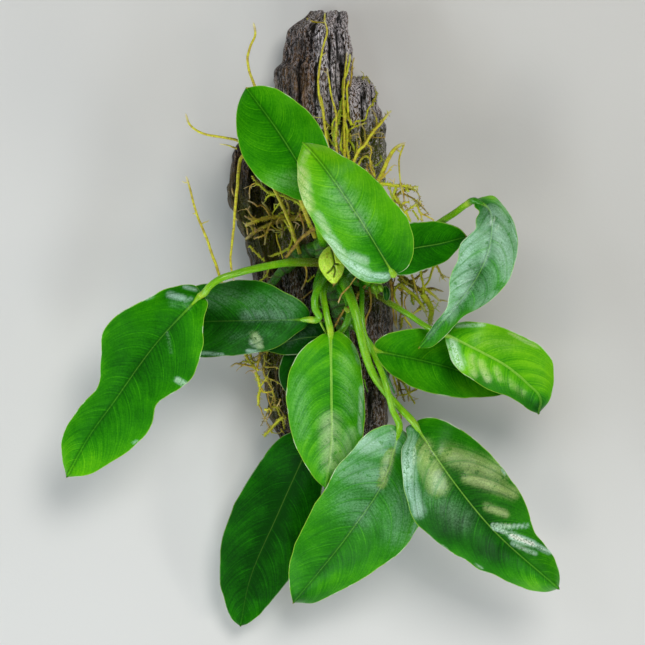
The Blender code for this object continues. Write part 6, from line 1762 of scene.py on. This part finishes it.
def root_mass(name, plan, ground, finish, seed):
    """A moss-covered tangle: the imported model's root and twigs, finer strands and stubs."""
    rng = np.random.default_rng(seed)
    radius = plan["radius"]
    stem = ground.laid(evenly(plan["stem"], LAID_STEP), radius)
    lines = [(evenly(stem, 0.45), radius * STEM_SHARE, MASS_TAPER)]
    for place, end in plan["twigs"]:
        start = curve(stem, np.array(place))
        tip = ground.laid([end], radius)[0]
        middle = (start + tip) / 2 + TWIG_BOW
        middle[2] = max(middle[2], ground.height(middle[0], middle[1]) + radius)
        lines.append((evenly([start, middle, tip], 0.45), radius * TWIG_SHARE, 0.65))
    made = Gather()
    for centres, width, end_share in lines:
        centres = shaken(centres, 4.5, 0.3, rng) - (0, 0, 0.5)
        add_root(made, centres, width, end_share, 10, rng, 0.4, 0.45, 1, MOSSY_WRINKLE)
        add_stubs(made, centres, width * 0.85, 2.0, 1.2, rng, 0.45, 0.4)
    every = strands(made, name, ground, rng)
    for _ in range(len(every)):
        centres, hue, tone = every[rng.integers(len(every))]
        k = rng.integers(1, len(centres) - 1)
        heading = turned_off(centres[k] - centres[k - 1], 0.3, 1.3, rng)
        thin = rng.uniform(0.14, 0.24)
        length = rng.uniform(1.5, 5)
        rise = rng.uniform(-0.2, 0.2)
        line = wander(centres[k], heading, length, 0.7, 0.3, rise, ground, thin, rng)
        add_root(made, line, thin, 0.6, 6, rng, hue, tone, 1, MOSSY_WRINKLE)
    made.piece(name, "mossy_root", finish)


def folded_leaf(finish):
    """The young leaf that is still folded, with its creases."""
    length, width, depth = BUD_SIZE
    middle = spot(BUD_MIDDLE)
    axis = unit(np.array(BUD_AXIS, float))
    across = unit(np.cross(axis, (0, 0, 1)))
    up = np.cross(across, axis)
    share = (np.arange(1, BUD_RINGS) / BUD_RINGS)[:, None]
    girth = np.sin(np.pi * share**BUD_FORWARD) ** BUD_FULLNESS
    turn = turns_round(BUD_SIDES)[None]
    points = (middle + axis * (length * (share - 0.5))[..., None]
              + across * (width / 2 * girth * np.cos(turn))[..., None]
              + up * (depth / 2 * girth * np.sin(turn))[..., None])
    out = unit(across * np.cos(turn)[..., None] + up * (1.4 * np.sin(turn))[..., None])
    places = as_seen(points)
    crease = np.zeros(points.shape[:2])
    for line in BUD_CREASES:
        steps = evenly(line, 0.15)
        gap = np.linalg.norm(places[:, :, None] - steps[None, None], axis=-1).min(-1)
        crease = np.maximum(crease, bell(gap, CREASE_WIDTH))
    crease = crease * (out[..., 2] > 0)
    lobes = 0.35 * noise(places[..., 0] / 2.6, places[..., 1] / 4.5)
    points = points + out * (lobes * girth - CREASE_DEPTH * crease * girth)[..., None]
    foot = middle - axis * (length / 2)
    tail = middle + axis * (length / 2) + np.array(BUD_TAIL)
    n, m = points.shape[:2]
    tip = np.concatenate((np.repeat(np.clip((share[:, 0] - 0.93) / 0.05, 0, 1), m), (0, 1)))
    made = Gather()
    made.add(
        np.vstack((points.reshape(-1, 3), foot, tail)), closed_faces(n, m),
        crease=np.concatenate((crease.ravel(), (0, 0))), tip=tip)
    made.piece("spathe_bud", "leaf_young", finish)


def floor():
    """The plain pale surface that the wood lies on."""
    half, depth = 3.0, -0.0002
    corners = [(-half, -half, depth), (half, -half, depth), (half, half, depth), (-half, half, depth)]
    mesh = bpy.data.meshes.new("floor")
    mesh.from_pydata(corners, [], [(0, 1, 2, 3)])
    mesh.materials.append(floor_finish())
    made = bpy.data.objects.new("floor", mesh)
    bpy.context.scene.collection.objects.link(made)


def softbox(name, tilt, turn, distance, size, radiance, colour):
    """A soft light seen from the plant at a tilt from straight up and a turn round it, in degrees."""
    tilt, turn = math.radians(tilt), math.radians(turn)
    aim = Vector((math.sin(tilt) * math.cos(turn), math.sin(tilt) * math.sin(turn), math.cos(tilt)))
    data = bpy.data.lights.new(name, "AREA")
    data.shape = "RECTANGLE"
    data.size, data.size_y = size
    data.energy = radiance * math.pi * size[0] * size[1]
    data.color = colour
    made = bpy.data.objects.new(name, data)
    made.location = Vector(LIT_PLACE) + aim * distance
    made.rotation_euler = aim.to_track_quat("Z", "Y").to_euler()
    bpy.context.scene.collection.objects.link(made)


def lights():
    """Soft studio light: a high fill, a long cool softbox on the left and small ones round it."""
    world = bpy.data.worlds.new("surround")
    bpy.context.scene.world = world
    world.use_nodes = True
    background = world.node_tree.nodes["Background"]
    background.inputs["Color"].default_value = (0.85, 0.92, 1.0, 1)
    background.inputs["Strength"].default_value = SURROUND_STRENGTH
    cool, neutral, warm = (0.86, 0.95, 1.0), (1.0, 0.99, 0.96), (1.0, 0.94, 0.82)
    softbox("high_fill", 28, 60, 1.25, (0.5, 0.5), 9.8, neutral)
    softbox("left_softbox", 62, -152, 0.92, (1.1, 0.16), 9.0, cool)
    softbox("front_softbox", 61, -90, 0.92, (0.22, 0.16), 16.0, cool)
    softbox("right_softbox", 56, -18, 0.92, (0.2, 0.16), 9.0, warm)
    softbox("low_right_softbox", 71, -43, 0.92, (0.2, 0.16), 8.0, cool)
    softbox("front_high_softbox", 34, -106, 1.0, (0.26, 0.16), 7.0, warm)
    softbox("upper_left_softbox", 30, 152, 1.0, (0.2, 0.16), 3.5, cool)


def camera():
    """The photo's view: straight down on the plant from its own distance."""
    data = bpy.data.cameras.new("camera")
    data.sensor_width = SENSOR_WIDTH
    data.lens = SENSOR_WIDTH * EYE_HEIGHT / SEEN_WIDTH
    data.clip_start = 0.05
    data.clip_end = 20
    made = bpy.data.objects.new("camera", data)
    made.location = (0, 0, EYE_HEIGHT * METRE)
    bpy.context.scene.collection.objects.link(made)
    bpy.context.scene.camera = made


def main():
    camera()
    lights()
    floor()
    bpy.context.scene.view_settings.view_transform = "Standard"

    wood = wood_finish()
    limbs = [limb(name, stations, wood, 1.7 + 3.3 * n) for n, (name, stations) in enumerate(LIMBS.items())]
    stem = rhizome_finish()
    for n, (name, plan) in enumerate(RHIZOME.items()):
        rhizome(name, plan, stem, 2.0 + 5 * n)
    wet, duller = leaf_finish("glossy_leaf", 0.36, 0.1), leaf_finish("duller_leaf", 0.4, 0.03)
    for n, (name, blade) in enumerate(BLADES.items()):
        leaf(name, blade, duller if name in DULLER_LEAVES else wet, 3.1 + 4.7 * n)
    stalk = stem_finish()
    for n, (name, plan) in enumerate(PETIOLES.items()):
        petiole(name, plan, stalk, 1.3 + 2.9 * n)
    sprouts(stalk)
    folded_leaf(bud_finish())

    ground = Ground(limbs)
    smooth = root_finish("anubias_root", 0.5)
    for n, (name, plan) in enumerate(ROOTS.items()):
        long_root(name, plan, ground, smooth, 100 + n)
    centre_roots(ground, smooth)
    mossy = root_finish("mossy_root", 0.6)
    for n, (name, plan) in enumerate(ROOT_MASSES.items()):
        root_mass(name, plan, ground, mossy, 200 + n)


main()
